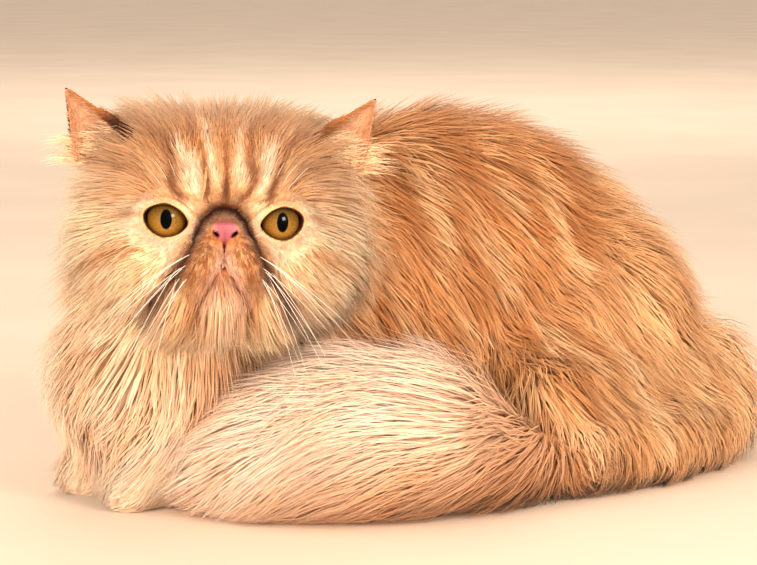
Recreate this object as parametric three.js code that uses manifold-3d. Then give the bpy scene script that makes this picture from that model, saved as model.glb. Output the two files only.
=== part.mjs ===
// Persian cat, crouched at rest: the head is turned to its left, and the tail is curled round that side.
// Millimetres, +Z up. The spine runs along X: the chest is at -X, the rump at +X, the cat's left side at -Y.
// The floor is z = 0, and the origin lies on it under the middle of the torso.
import * as THREE from "three";
import { mergeVertices } from "three/addons/utils/BufferGeometryUtils.js";
import Module from "manifold-3d";

const wasm = await Module();
wasm.setup();

// Driving dimensions
const BACK_HEIGHT = 205; // skin over the arch of the back
const TORSO_LENGTH = 288;
const TORSO_WIDTH = 146;
const TORSO_X = 32; // middle of the arch, from the origin
const HEAD_AT = new THREE.Vector3(-138, -69, 162);
const HEAD_TURN = -20; // degrees from looking along -Y, towards the chest
const HEAD_PITCH = 6;
const HEAD_ROLL = 2.5; // the cat's left ear is the lower one
const SKULL = [50, 46, 50];
const EYE_RADIUS = 11.4;
const EYE_AT = [30, 3, 31.5]; // from the head's middle: across, up, forward
const EYE_OPENING = [22, 16.5];
const LID = 1.7; // thickness of the lids over the eyeball
const EAR_HEIGHT = 36;
const EAR_WIDTH = 39;
const EAR_THICKNESS = 2.4;
const TAIL_RADIUS = 12;
const GAP = 0.45; // kept between nodes
const TAIL_SLACK = 1.5; // how far the tail's locks may stand out of its form
const RAD = Math.PI / 180;

// The long coat: locks fused to a core
const CORE_SHARE = 0.5; // of the way from the skin to the tips
const ROOT_DEPTH = 7; // how far a lock's root is sunk into the core
const LOCK_RISE = [-1, 0.4, 0.8, 1]; // height along a lock: -1 at the root, 0 on the core, 1 at the tips
const LOCK_SHAPE = [0.8, 1, 0.7]; // share of the full width and thickness, up to the tip
const LONG_COAT = 10; // depth from which the coat is in locks

const vec = (x, y, z) => new THREE.Vector3(x, y, z);
const mix = THREE.MathUtils.lerp;
const clamp = THREE.MathUtils.clamp;
const smooth = THREE.MathUtils.smoothstep;

// Distance functions, negative inside
function blob(p, [x, y, z], [a, b, c]) {
  const dx = (p.x - x) / a;
  const dy = (p.y - y) / b;
  const dz = (p.z - z) / c;
  const near = Math.hypot(dx, dy, dz);
  const slope = Math.hypot(dx / a, dy / b, dz / c);
  return slope < 1e-9 ? -Math.min(a, b, c) : (near * (near - 1)) / slope;
}

function limb(p, from, to, r0, r1) {
  const [x, y, z] = from;
  const dx = to[0] - x;
  const dy = to[1] - y;
  const dz = to[2] - z;
  const along = ((p.x - x) * dx + (p.y - y) * dy + (p.z - z) * dz) / (dx * dx + dy * dy + dz * dz);
  const t = clamp(along, 0, 1);
  return Math.hypot(p.x - x - t * dx, p.y - y - t * dy, p.z - z - t * dz) - mix(r0, r1, t);
}

// A chain of limbs through points, each with its radius
function chain(p, points, radii) {
  let d = Infinity;
  for (let i = 1; i < points.length; i++) {
    d = Math.min(d, limb(p, points[i - 1], points[i], radii[i - 1], radii[i]));
  }
  return d;
}

function melt(k, ...distances) {
  let d = distances[0];
  for (const other of distances.slice(1)) {
    const h = Math.max(k - Math.abs(d - other), 0) / k;
    d = Math.min(d, other) - (h * h * k) / 4;
  }
  return d;
}

const bell = (x, width) => Math.exp(-(x * x) / (width * width));

// Distance in the face's own plane from (u, v) to a line through points
function lineDistance(u, v, points) {
  let best = Infinity;
  for (let i = 1; i < points.length; i++) {
    const [a, b] = points[i - 1];
    const du = points[i][0] - a;
    const dv = points[i][1] - b;
    const t = clamp(((u - a) * du + (v - b) * dv) / (du * du + dv * dv), 0, 1);
    best = Math.min(best, Math.hypot(u - a - t * du, v - b - t * dv));
  }
  return best;
}

// The head's own frame: U to the cat's left, V up, W out of the face
function headFrame() {
  const turn = HEAD_TURN * RAD;
  const pitch = HEAD_PITCH * RAD;
  const roll = HEAD_ROLL * RAD;
  const w = vec(Math.sin(turn) * Math.cos(pitch), -Math.cos(turn) * Math.cos(pitch), Math.sin(pitch));
  const flatU = vec(Math.cos(turn), Math.sin(turn), 0);
  const flatV = w.clone().cross(flatU);
  const u = flatU.clone().multiplyScalar(Math.cos(roll)).addScaledVector(flatV, -Math.sin(roll));
  const v = w.clone().cross(u);
  return new THREE.Matrix4().makeBasis(u, v, w).setPosition(HEAD_AT);
}
const HEAD = headFrame();
const HEAD_INVERSE = HEAD.clone().invert();

// Lines of the face, on its left half: (across, up) from the head's middle
const MUZZLE_FOLD = [[0, 9.5], [6, 8.5], [11, 3], [15, -6], [19, -16], [26, -27], [33, -36]];
const MOUTH = [[0, -9], [0, -19.5], [4, -24.5], [8.5, -31], [13, -36]];

function headSkin(q) {
  const p = { x: Math.abs(q.x), y: q.y, z: q.z };
  const back = melt(14, blob(p, [0, 8, -8], SKULL), blob(p, [28, -14, 4], [30, 28, 34]),
    blob(p, [0, 28, 18], [30, 24, 28]));
  const brow = melt(8, back, blob(p, [15, 19, 31], [17, 12, 14]), blob(p, [20, -30, 22], [20, 18, 18]));
  const face = melt(6, brow, blob(p, [29, 2, 28], [17, 13, 13.5]), blob(p, [13, -18, 41], [14.5, 13.5, 13]),
    blob(p, [0, -35, 34], [15, 11, 13]));
  let d = melt(4, face, blob(p, [0, -2, 43.5], [9.5, 7.5, 8]));
  if (q.z > 18) {
    const fold = lineDistance(p.x, p.y, MUZZLE_FOLD);
    const deep = mix(3, 5, smooth(p.y, -12, 8));
    d += deep * bell(fold, 2.8) + 1.7 * bell(lineDistance(p.x, p.y, MOUTH), 1.5);
  }
  return d;
}

// The coat's depth over the head: short on the face, long on the cheeks, less so on the crown
function headCoat(q) {
  const off = Math.hypot(q.x, q.y) + 1e-6;
  const turned = Math.atan2(off, q.z + 8) / RAD;
  const longest = mix(35, 17, smooth(q.y / off, 0.7, 1));
  return 2.4 + longest * smooth(turned, 44, 96);
}

// Flesh, group by group: the distance to its skin and the depth of its coat
const torsoTop = BACK_HEIGHT / 2;
const TAIL_PATH = [[184, 4, 58], [206, -36, 34], [186, -88, 24], [126, -120, 23], [60, -132, 24], [5, -134, 32]];
const PLUME_PATH = [[5, -134, 32], [-38, -126, 47], [-82, -113, 47], [-116, -92, 36], [-134, -72, 22]];

const GROUPS = {
  torso: {
    skin: (p) => melt(26,
      blob(p, [TORSO_X, 0, torsoTop - 14], [TORSO_LENGTH / 2, TORSO_WIDTH / 2, torsoTop + 14]),
      blob(p, [112, 0, 76], [72, 66, 80]),
      blob(p, [-88, -2, 90], [60, 54, 92])),
    coat: (p) => mix(26, 33, smooth(160 - p.z, 0, 100)),
  },
  neck: {
    skin: (p) => melt(20, limb(p, [-80, 2, 142], [-114, -36, 152], 50, 36),
      limb(p, [-146, -33, 108], [-152, -14, 58], 38, 37)),
    coat: (p) => mix(20, 36, smooth(155 - p.z, 0, 40)),
  },
  head: {
    skin: (p) => headSkin(p.clone().applyMatrix4(HEAD_INVERSE)),
    coat: (p) => headCoat(p.clone().applyMatrix4(HEAD_INVERSE)),
  },
  foreleg_left: foreleg([-96, -46, 40], [-150, -40, 22], [-173, -38, 13]),
  foreleg_right: foreleg([-100, 44, 40], [-158, 24, 22], [-182, 16, 13]),
  hindleg_left: hindleg(-1),
  hindleg_right: hindleg(1),
  tail_base: tailLength(TAIL_PATH.slice(0, 3), 0, 22),
  tail_middle: tailLength(TAIL_PATH.slice(2, 5), 1, 17),
  tail_plume: {
    skin: (p) => chain(p, [TAIL_PATH[4], ...PLUME_PATH], [11, 13, 26, 26, 18, 9]),
    coat: (p) => mix(17, 33, smooth(60 - p.x, 0, 70)),
  },
};

function foreleg(elbow, wrist, paw) {
  const toes = [-9, -3, 3, 9];
  const ahead = Math.atan2(paw[1] - wrist[1], paw[0] - wrist[0]);
  const toe = toes.map((side) => [
    paw[0] + Math.cos(ahead) * (11 - Math.abs(side) / 3) - Math.sin(ahead) * side,
    paw[1] + Math.sin(ahead) * (11 - Math.abs(side) / 3) + Math.cos(ahead) * side,
    8,
  ]);
  return {
    skin: (p) => melt(5, melt(12, limb(p, elbow, wrist, 24, 16), limb(p, wrist, paw, 16, 13)),
      ...toe.map((at) => blob(p, at, [7.5, 6.2, 9]))),
    coat: (p) => mix(3, 18, smooth(Math.hypot(p.x - paw[0], p.y - paw[1]), 25, 80)),
  };
}

function hindleg(side) {
  const hip = [128, side * 46, 92];
  const knee = [62, side * 62, 52];
  const hock = [148, side * 68, 18];
  const paw = [66, side * 80, 12];
  const toe = [-8, -3, 3, 8].map((offset) => [paw[0] - 12 + Math.abs(offset) / 3, paw[1] + offset, 8]);
  return {
    skin: (p) => melt(22, limb(p, hip, knee, 46, 31), limb(p, knee, hock, 26, 15),
      melt(6, limb(p, hock, paw, 13, 12), ...toe.map((at) => blob(p, at, [8, 6, 9])))),
    coat: (p) => mix(4, 27, smooth(p.z, 12, 50)),
  };
}

function tailLength(points, taper, coat) {
  const radii = points.map((_, i) => TAIL_RADIUS + 2 - taper - i / 2);
  return { skin: (p) => chain(p, points, radii), coat: () => coat };
}

const BODY = Object.keys(GROUPS).filter((name) => !name.startsWith("tail"));
const TAILS = Object.keys(GROUPS).filter((name) => name.startsWith("tail"));

// Height over the skin in a coat of some depth: lift is -1 at a lock's root, 0 on the core, 1 at the tips
function height(coat, lift) {
  const core = coat * mix(1, CORE_SHARE, smooth(coat, 5, 15));
  return lift < 0 ? core + lift * ROOT_DEPTH : mix(core, coat, lift);
}

// The skin of the whole cat with its coat laid on, up to some lift
function coated(p, lift) {
  let body = Infinity;
  let weights = 0;
  let coat = 0;
  const each = BODY.map((name) => GROUPS[name].skin(p));
  const nearest = Math.min(...each);
  BODY.forEach((name, i) => {
    if (each[i] > nearest + 60) return;
    body = body === Infinity ? each[i] : melt(16, body, each[i]);
    const weight = Math.exp((nearest - each[i]) / 7);
    weights += weight;
    coat += weight * GROUPS[name].coat(p);
  });
  const tail = Math.min(...TAILS.map((name) => GROUPS[name].skin(p) - height(GROUPS[name].coat(p), lift)));
  return Math.min(body - height(coat / weights, lift), tail);
}

// One node's share of the whole cat: what lies within its own flesh and coat, and a little of the blend round it
const BLEND_REACH = 5;
function nodeDistance(name, p, lift, grow) {
  const { skin, coat } = GROUPS[name];
  if (name.startsWith("tail")) return skin(p) - height(coat(p), lift) - grow;
  return Math.max(coated(p, lift), skin(p) - coat(p) - BLEND_REACH) - grow;
}

// Where a ray from inside first leaves a solid
function reach(from, direction, distance, longest) {
  const at = vec(0, 0, 0);
  let low = 0;
  let high = longest;
  const step = 4;
  for (let t = step; t < longest; t += step) {
    at.copy(from).addScaledVector(direction, t);
    if (distance(at) > 0) {
      high = t;
      break;
    }
    low = t;
  }
  for (let i = 0; i < 12; i++) {
    const t = (low + high) / 2;
    at.copy(from).addScaledVector(direction, t);
    if (distance(at) > 0) high = t;
    else low = t;
  }
  return from.clone().addScaledVector(direction, (low + high) / 2);
}

// A closed skin round a middle: a sphere's net, each point moved out along its ray to the surface.
// The net's poles lie on the frame's z, and its rings crowd round the first pole where crowd is over 1.
function shell(frame, stretch, segments, rings, crowd, distance) {
  const net = new THREE.SphereGeometry(1, segments, rings);
  net.deleteAttribute("normal");
  net.deleteAttribute("uv");
  net.rotateX(Math.PI / 2);
  const merged = mergeVertices(net, 1e-5);
  const place = merged.getAttribute("position");
  const middle = vec(0, 0, 0).setFromMatrixPosition(frame);
  const direction = vec(0, 0, 0);
  for (let i = 0; i < place.count; i++) {
    direction.fromBufferAttribute(place, i);
    const polar = Math.acos(clamp(direction.z, -1, 1));
    const crowded = Math.PI * (polar / Math.PI) ** crowd;
    const around = Math.atan2(direction.y, direction.x);
    direction.set(Math.sin(crowded) * Math.cos(around) * stretch[0],
      Math.sin(crowded) * Math.sin(around) * stretch[1], Math.cos(crowded) * stretch[2]);
    direction.transformDirection(frame);
    const at = reach(middle, direction, distance, 260);
    place.setXYZ(i, at.x, at.y, at.z);
  }
  return solid(merged);
}

function solid(geometry) {
  for (const name of Object.keys(geometry.attributes)) {
    if (name !== "position") geometry.deleteAttribute(name);
  }
  const merged = mergeVertices(geometry, 1e-4);
  return new wasm.Manifold(new wasm.Mesh({
    numProp: 3,
    vertProperties: new Float32Array(merged.attributes.position.array),
    triVerts: new Uint32Array(merged.index.array),
  }));
}

function along(middle, x, y, z) {
  const axis = vec(x, y, z).normalize();
  const turn = new THREE.Quaternion().setFromUnitVectors(vec(0, 0, 1), axis);
  return new THREE.Matrix4().makeRotationFromQuaternion(turn).setPosition(...middle);
}

// The middle, pole axis, stretch, segments and rings of each node's net
const NETS = {
  torso: { frame: along([40, 0, 84], 1, 0, 0), stretch: [1.25, 1, 1.9], segments: 18, rings: 12 },
  neck: { frame: along([-128, -36, 100], 0, 0, 1), stretch: [1, 1, 1.6], segments: 14, rings: 9 },
  foreleg_left: { frame: along([-140, -42, 24], -1, 0, -0.1), stretch: [1, 1, 2], segments: 16, rings: 12 },
  foreleg_right: { frame: along([-146, 30, 24], -1, -0.2, -0.1), stretch: [1, 1, 2], segments: 16, rings: 12 },
  hindleg_left: { frame: along([104, -64, 48], -1, 0, 0), stretch: [1.3, 1, 1.7], segments: 13, rings: 8 },
  hindleg_right: { frame: along([104, 64, 48], -1, 0, 0), stretch: [1.3, 1, 1.7], segments: 13, rings: 8 },
  tail_base: { frame: along([203, -38, 45], -0.1, -1, -0.4), stretch: [1, 1, 1.8], segments: 9, rings: 7 },
  tail_middle: { frame: along([126, -122, 30], -1, -0.35, 0), stretch: [1, 1, 2.2], segments: 9, rings: 7 },
  tail_plume: { frame: along([-42, -118, 54], -1, 0.2, 0), stretch: [1, 1, 2], segments: 10, rings: 8 },
};

function formOf(name, lift, grow) {
  const { frame, stretch, segments, rings } = NETS[name];
  return shell(frame, stretch, segments, rings, 1, (p) => nodeDistance(name, p, lift, grow));
}

// The way out of a form at a point
function outward(p, distance) {
  const step = 0.5;
  const here = distance(p);
  const slope = (x, y, z) => distance(vec(p.x + x, p.y + y, p.z + z)) - here;
  return vec(slope(step, 0, 0), slope(0, step, 0), slope(0, 0, step)).normalize();
}

function pathWay(p, points) {
  let nearest = Infinity;
  let way = null;
  for (let i = 1; i < points.length; i++) {
    const d = limb(p, points[i - 1], points[i], 0, 0);
    if (d < nearest) {
      nearest = d;
      way = vec(...points[i]).sub(vec(...points[i - 1])).normalize();
    }
  }
  return way;
}

// The lie of the hair at a point with the outward direction n, before it is laid flat
const FACE_OUT = vec(0, 0, 1).transformDirection(HEAD);
const FACE_MIDDLE = HEAD_AT.clone().addScaledVector(FACE_OUT, 24);
const LIES = {
  torso: (p, n) => vec(1 - 0.5 * Math.abs(n.y), 0.35 * n.y, -0.1 - 0.75 * Math.abs(n.y) - 0.8 * Math.max(n.x, 0)),
  neck: (p) => p.clone().sub(HEAD_AT).normalize().add(vec(0, 0, -0.8)),
  head: (p) => p.clone().sub(FACE_MIDDLE).normalize().add(vec(0, 0, -0.3)),
  hindleg_left: () => vec(0.55, -0.1, -0.9),
  hindleg_right: () => vec(0.55, 0.1, -0.9),
  tail_base: (p) => pathWay(p, TAIL_PATH),
  tail_middle: (p) => pathWay(p, TAIL_PATH),
  tail_plume: (p, n) => pathWay(p, [...TAIL_PATH, ...PLUME_PATH.slice(1)]).add(vec(0, 0, 0.3 * (n.z - 0.9))),
  foreleg_left: () => vec(0.7, -0.3, -0.6),
  foreleg_right: () => vec(0.7, 0.3, -0.6),
};

// Locks tried over a whole node, and their usual size in millimetres
const LOCKS = {
  torso: { tried: 90, length: 104, width: 44, thickness: 11 },
  neck: { tried: 50, length: 84, width: 38, thickness: 10 },
  head: { rings: [[60, 12], [80, 16], [104, 9]], length: 50, width: 28, thickness: 8 },
  foreleg_left: { tried: 16, length: 48, width: 30, thickness: 8 },
  foreleg_right: { tried: 16, length: 48, width: 30, thickness: 8 },
  hindleg_left: { tried: 34, length: 78, width: 40, thickness: 10 },
  hindleg_right: { tried: 28, length: 78, width: 40, thickness: 10 },
  tail_base: { tried: 10, length: 74, width: 34, thickness: 9 },
  tail_middle: { tried: 11, length: 80, width: 34, thickness: 9 },
  tail_plume: { tried: 28, length: 96, width: 38, thickness: 9 },
};

// A steady stream of numbers from 0 to 1
function stream(seed) {
  let state = seed;
  return () => {
    state = (Math.imul(state, 1664525) + 1013904223) >>> 0;
    return state / 2 ** 32;
  };
}

// A lock's stations, from the sunk root to the tip: each has its place, sideways and outward directions
function lockStations(name, root, { length, width, thickness }, random) {
  const step = (length * mix(0.8, 1.2, random())) / (LOCK_RISE.length - 1);
  const wide = (width / 2) * mix(0.8, 1.15, random());
  const thick = (thickness / 2) * mix(0.85, 1.15, random());
  const bend = mix(-16, 16, random()) * RAD;
  const swing = mix(-14, 14, random()) * RAD;
  const fullness = mix(0.82, 1.06, random());
  const at = root.clone();
  const stations = [];
  LOCK_RISE.forEach((rise, i) => {
    const surface = (p) => coated(p, rise < 0 ? rise : rise * fullness);
    const n = outward(at, surface);
    const way = LIES[name](at, n).projectOnPlane(n).normalize();
    way.applyAxisAngle(n, swing + bend * (i - 1));
    if (i > 0) at.addScaledVector(way, step);
    for (let pull = 0; pull < 2; pull++) {
      at.addScaledVector(outward(at, surface), -surface(at));
    }
    const share = LOCK_SHAPE[i] ?? 0;
    const inner = (p) => nodeDistance(name, p, 1, 0) + thick * share + 1;
    if (inner(at) > 0) at.addScaledVector(outward(at, inner), -inner(at));
    at.z = Math.max(at.z, 3);
    stations.push({ at: at.clone(), n, way, wide: wide * share, thick: thick * share });
  });
  return stations;
}

function lockSolid(stations) {
  const positions = [];
  const triangles = [];
  const last = stations.length - 1;
  stations.slice(0, last).forEach(({ at, n, way, wide, thick }) => {
    const side = n.clone().cross(way).normalize();
    for (const [a, b] of [[wide, -thick / 3], [0, thick], [-wide, -thick / 3]]) {
      positions.push(...at.clone().addScaledVector(side, a).addScaledVector(n, b));
    }
  });
  positions.push(...stations[last].at);
  for (let i = 0; i < last; i++) {
    for (let k = 0; k < 3; k++) {
      const a = 3 * i + k;
      const b = 3 * i + ((k + 1) % 3);
      if (i === last - 1) triangles.push(a, b, 3 * last);
      else triangles.push(a, b, b + 3, a, b + 3, a + 3);
    }
  }
  triangles.push(0, 2, 1);
  const strip = new THREE.BufferGeometry();
  strip.setAttribute("position", new THREE.Float32BufferAttribute(positions, 3));
  strip.setIndex(triangles);
  return solid(strip);
}

// Where roots are tried: in rings round the face, or in a spiral that covers the whole node evenly
function rootAngles({ rings, tried }) {
  const angles = [];
  if (rings) {
    rings.forEach(([polar, count], row) => {
      for (let i = 0; i < count; i++) angles.push([polar * RAD, (2 * Math.PI * (i + row / 2)) / count]);
    });
    return angles;
  }
  const golden = Math.PI * (3 - Math.sqrt(5));
  for (let i = 0; i < tried; i++) angles.push([Math.acos(1 - (2 * (i + 0.5)) / tried), golden * i]);
  return angles;
}

// Locks stand where a node's core is bare to the air and its coat is long
function plant(name, frame, stretch) {
  const random = stream(100 + name.length);
  const middle = vec(0, 0, 0).setFromMatrixPosition(frame);
  const planted = [];
  for (const [polar, turn] of rootAngles(LOCKS[name])) {
    const around = turn + 0.3 * random();
    const direction = vec(Math.sin(polar) * Math.cos(around) * stretch[0],
      Math.sin(polar) * Math.sin(around) * stretch[1], Math.cos(polar) * stretch[2]).transformDirection(frame);
    const root = reach(middle, direction, (p) => nodeDistance(name, p, 0, 0), 260);
    const skyward = outward(root, (p) => coated(p, 0)).z;
    const bare = Math.abs(coated(root, 0)) < 1.5 && root.z > 12 && skyward > -0.5;
    if (bare && GROUPS[name].coat(root) > LONG_COAT) {
      planted.push(lockStations(name, root, LOCKS[name], random));
    }
  }
  return planted;
}

const slackOf = (name) => (name.startsWith("tail") ? TAIL_SLACK : 0);

// A node with a long coat: its core and its locks in one closed body
const plantings = {};
function coatedNode(name) {
  const { frame, stretch } = NETS[name];
  plantings[name] ??= plant(name, frame, stretch);
  const outline = formOf(name, 1, slackOf(name));
  const locks = plantings[name].map((stations) => lockSolid(stations).intersect(outline));
  return wasm.Manifold.union([formOf(name, 0, 0), ...locks]);
}

// The opening between the lids, drawn square to the eye's axis: corners at the sides, fuller above
function almond(grow) {
  const half = EYE_OPENING[0] / 2 + grow;
  const up = EYE_OPENING[1] * 0.52 + grow;
  const down = EYE_OPENING[1] * 0.48 + grow;
  const shape = new THREE.Shape();
  const steps = 16;
  for (let i = 0; i < steps; i++) {
    const angle = (2 * Math.PI * i) / steps;
    const sine = Math.sin(angle);
    const x = half * Math.cos(angle);
    const y = (sine > 0 ? up : down) * Math.sign(sine) * Math.abs(sine) ** 1.15;
    if (i === 0) shape.moveTo(x, y);
    else shape.lineTo(x, y);
  }
  return new THREE.ExtrudeGeometry(shape, { depth: 40, bevelEnabled: false, steps: 1 });
}

function eyePlace(side) {
  const [u, v, w] = EYE_AT;
  return HEAD.clone().multiply(new THREE.Matrix4().makeTranslation(side * u, v, w));
}

function eyeball(side, radius) {
  const ball = new THREE.SphereGeometry(radius, 16, 11);
  const place = ball.getAttribute("position");
  const at = vec(0, 0, 0);
  for (let i = 0; i < place.count; i++) {
    at.fromBufferAttribute(place, i);
    const off = Math.acos(clamp(at.z / radius, -1, 1)) / RAD;
    at.multiplyScalar(1 + 0.06 * bell(off, 26)); // the cornea's bulge
    place.setXYZ(i, at.x, at.y, at.z);
  }
  return solid(ball.applyMatrix4(eyePlace(side)));
}

function eyeOpening(side) {
  const slant = new THREE.Matrix4().makeRotationZ(side * 7 * RAD);
  const splay = new THREE.Matrix4().makeRotationY(side * 10 * RAD);
  return solid(almond(0).applyMatrix4(splay.multiply(slant)).applyMatrix4(eyePlace(side)));
}

function nostril(side) {
  const hole = new THREE.SphereGeometry(1, 10, 8);
  hole.scale(1.5, 2.3, 4).rotateZ(side * 28 * RAD).translate(side * 5, -4.6, 50.5);
  return solid(hole.applyMatrix4(HEAD));
}

// The lids lie over the eyeballs, as a thin layer that the face's skin runs into
function lidded(p) {
  const q = p.clone().applyMatrix4(HEAD_INVERSE);
  const lid = Math.hypot(Math.abs(q.x) - EYE_AT[0], q.y - EYE_AT[1], q.z - EYE_AT[2]) - EYE_RADIUS - LID;
  return lid;
}

function headForm(lift, grow) {
  return shell(HEAD, [1, 1, 1], 34, 29, 1.6,
    (p) => melt(2.5, nodeDistance("head", p, lift, 0), lidded(p)) - grow);
}

function headSolid() {
  plantings.head ??= plant("head", HEAD, [1, 1, 1]);
  const outline = headForm(1, 0);
  const locks = plantings.head.map((stations) => lockSolid(stations).intersect(outline));
  let head = wasm.Manifold.union([headForm(0, 0), ...locks]);
  for (const side of [-1, 1]) {
    head = head.subtract(eyeball(side, EYE_RADIUS + GAP)).subtract(eyeOpening(side)).subtract(nostril(side));
  }
  return head;
}

// An ear: a thin cupped leaf, wide at its base, leaning out, with its hollow towards the face
function earSolid(side, grow) {
  const columns = 8;
  const up = 8;
  const positions = [];
  const face = (s, t, out) => {
    const rise = t + (2 * grow * (2 * t - 1)) / EAR_HEIGHT;
    const share = clamp(rise, 0, 1);
    const wide = (EAR_WIDTH / 2) * (1 - share ** 1.25) + 0.7;
    const lean = 25 * share ** 1.15;
    const across = s * (1 + (2 * grow) / wide);
    const cup = 9 * (1 - share) ** 0.6 * Math.max(1 - across ** 2, 0);
    const v = EAR_HEIGHT * rise - 4 * across * (1 - share);
    const w = -cup - 2 + out * ((EAR_THICKNESS / 2) * (1 - 0.35 * share) + 1.7 * grow);
    return [side * (60 + across * wide + lean), 37 + v, w];
  };
  const rows = columns + 1;
  for (const out of [1, -1]) {
    for (let j = 0; j <= up; j++) {
      for (let i = 0; i <= columns; i++) {
        positions.push(...face((2 * i) / columns - 1, j / up, out));
      }
    }
  }
  const back = rows * (up + 1);
  const triangles = [];
  const quad = (a, b, c, d) => triangles.push(a, b, c, a, c, d);
  for (let j = 0; j < up; j++) {
    for (let i = 0; i < columns; i++) {
      const a = j * rows + i;
      quad(a, a + 1, a + rows + 1, a + rows);
      quad(back + a, back + a + rows, back + a + rows + 1, back + a + 1);
    }
  }
  for (let i = 0; i < columns; i++) {
    quad(i, back + i, back + i + 1, i + 1);
    const top = up * rows + i;
    quad(top, top + 1, back + top + 1, back + top);
  }
  for (let j = 0; j < up; j++) {
    const a = j * rows;
    quad(a, a + rows, back + a + rows, back + a);
    const b = a + columns;
    quad(b, back + b, back + b + rows, b + rows);
  }
  if (side < 0) {
    for (let i = 0; i < triangles.length; i += 3) {
      [triangles[i], triangles[i + 1]] = [triangles[i + 1], triangles[i]];
    }
  }
  const leaf = new THREE.BufferGeometry();
  leaf.setAttribute("position", new THREE.Float32BufferAttribute(positions, 3));
  leaf.setIndex(triangles);
  return solid(leaf.applyMatrix4(HEAD));
}

// Every node's maker, and the form that is kept clear of it, in the order in which they are cut
const MAKERS = {
  eye_left: [() => eyeball(1, EYE_RADIUS), () => eyeball(1, EYE_RADIUS + GAP)],
  eye_right: [() => eyeball(-1, EYE_RADIUS), () => eyeball(-1, EYE_RADIUS + GAP)],
  ear_left: [() => earSolid(1, 0), () => earSolid(1, GAP)],
  ear_right: [() => earSolid(-1, 0), () => earSolid(-1, GAP)],
  head: [headSolid, () => headForm(1, GAP)],
  tail_plume: longCoated("tail_plume"),
  tail_middle: longCoated("tail_middle"),
  tail_base: longCoated("tail_base"),
  foreleg_left: longCoated("foreleg_left"),
  foreleg_right: longCoated("foreleg_right"),
  neck: longCoated("neck"),
  hindleg_left: longCoated("hindleg_left"),
  hindleg_right: longCoated("hindleg_right"),
  torso: longCoated("torso"),
};

function longCoated(name) {
  return [() => coatedNode(name), () => formOf(name, 1, slackOf(name) + GAP)];
}

const LOOKS = {
  fur: { color: "#d9944f", roughness: 0.9 },
  cream: { color: "#f0cfa4", roughness: 0.9 },
  face: { color: "#e8b477", roughness: 0.9 },
  ear: { color: "#d9a075", roughness: 0.9 },
  eye: { color: "#b8791e", roughness: 0.1 },
};
const LOOK_OF = {
  eye_left: "eye", eye_right: "eye", ear_left: "ear", ear_right: "ear", head: "face",
  neck: "cream", foreleg_left: "cream", foreleg_right: "cream", tail_plume: "cream",
};

function largest(made) {
  const pieces = made.decompose();
  return pieces.reduce((a, b) => (a.volume() > b.volume() ? a : b));
}

// Where two stretches of a body's surface touch along an edge
function touching(made) {
  const merged = mergeVertices(geometryOf(made), 1e-3);
  const place = merged.getAttribute("position");
  const corners = merged.index.array;
  const faces = new Map();
  for (let i = 0; i < corners.length; i++) {
    const next = i % 3 === 2 ? i - 2 : i + 1;
    const edge = [corners[i], corners[next]].sort((a, b) => a - b);
    const key = edge.join();
    faces.set(key, { edge, count: (faces.get(key)?.count ?? 0) + 1 });
  }
  return [...faces.values()].filter(({ count }) => count > 2).map(({ edge: [a, b] }) => [
    (place.getX(a) + place.getX(b)) / 2,
    (place.getY(a) + place.getY(b)) / 2,
    (place.getZ(a) + place.getZ(b)) / 2,
  ]);
}

// The lock that comes nearest to a place is left out
function leaveOut(name, place) {
  const at = vec(...place);
  const distanceTo = (stations) => Math.min(...stations.map((station) => station.at.distanceTo(at)));
  const nearest = plantings[name].reduce((a, b) => (distanceTo(a) < distanceTo(b) ? a : b));
  plantings[name] = plantings[name].filter((stations) => stations !== nearest);
}

function geometryOf(made) {
  const { vertProperties, triVerts, numProp } = made.getMesh();
  const count = vertProperties.length / numProp;
  const positions = new Float32Array(count * 3);
  for (let i = 0; i < count; i++) {
    positions.set(vertProperties.subarray(i * numProp, i * numProp + 3), i * 3);
  }
  const geometry = new THREE.BufferGeometry();
  geometry.setAttribute("position", new THREE.BufferAttribute(positions, 3));
  geometry.setIndex(new THREE.BufferAttribute(new Uint32Array(triVerts), 1));
  return geometry;
}

// A node cut clear of those before it and level with the floor
function cutNode(name, make, taken) {
  const whole = taken ? make().subtract(taken) : make();
  return largest(whole.trimByPlane([0, 0, 1], 0).simplify(name === "head" ? 0.15 : 0.2));
}

const cat = new THREE.Group();
let taken = null;
for (const [name, [make, makeRoom]] of Object.entries(MAKERS)) {
  let made = cutNode(name, make, taken);
  for (let left = 8; left > 0 && plantings[name]; left--) {
    const places = touching(made);
    if (places.length === 0) break;
    leaveOut(name, places[0]);
    made = cutNode(name, make, taken);
  }
  const { color, roughness } = LOOKS[LOOK_OF[name] ?? "fur"];
  const material = new THREE.MeshStandardMaterial({ color, roughness, metalness: 0 });
  const mesh = new THREE.Mesh(geometryOf(made), material);
  mesh.name = name;
  cat.add(mesh);
  const room = makeRoom();
  taken = taken ? taken.add(room) : room;
}

export default cat;
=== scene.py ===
# Persian cat, crouched at rest, with its head turned to its left and its tail curled round that side.
# Shapes are worked out in millimetres, in the frame's own axes, and made in metres.
import math
from collections import namedtuple

import bpy
import numpy as np
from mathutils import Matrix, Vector
from mathutils.kdtree import KDTree


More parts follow.
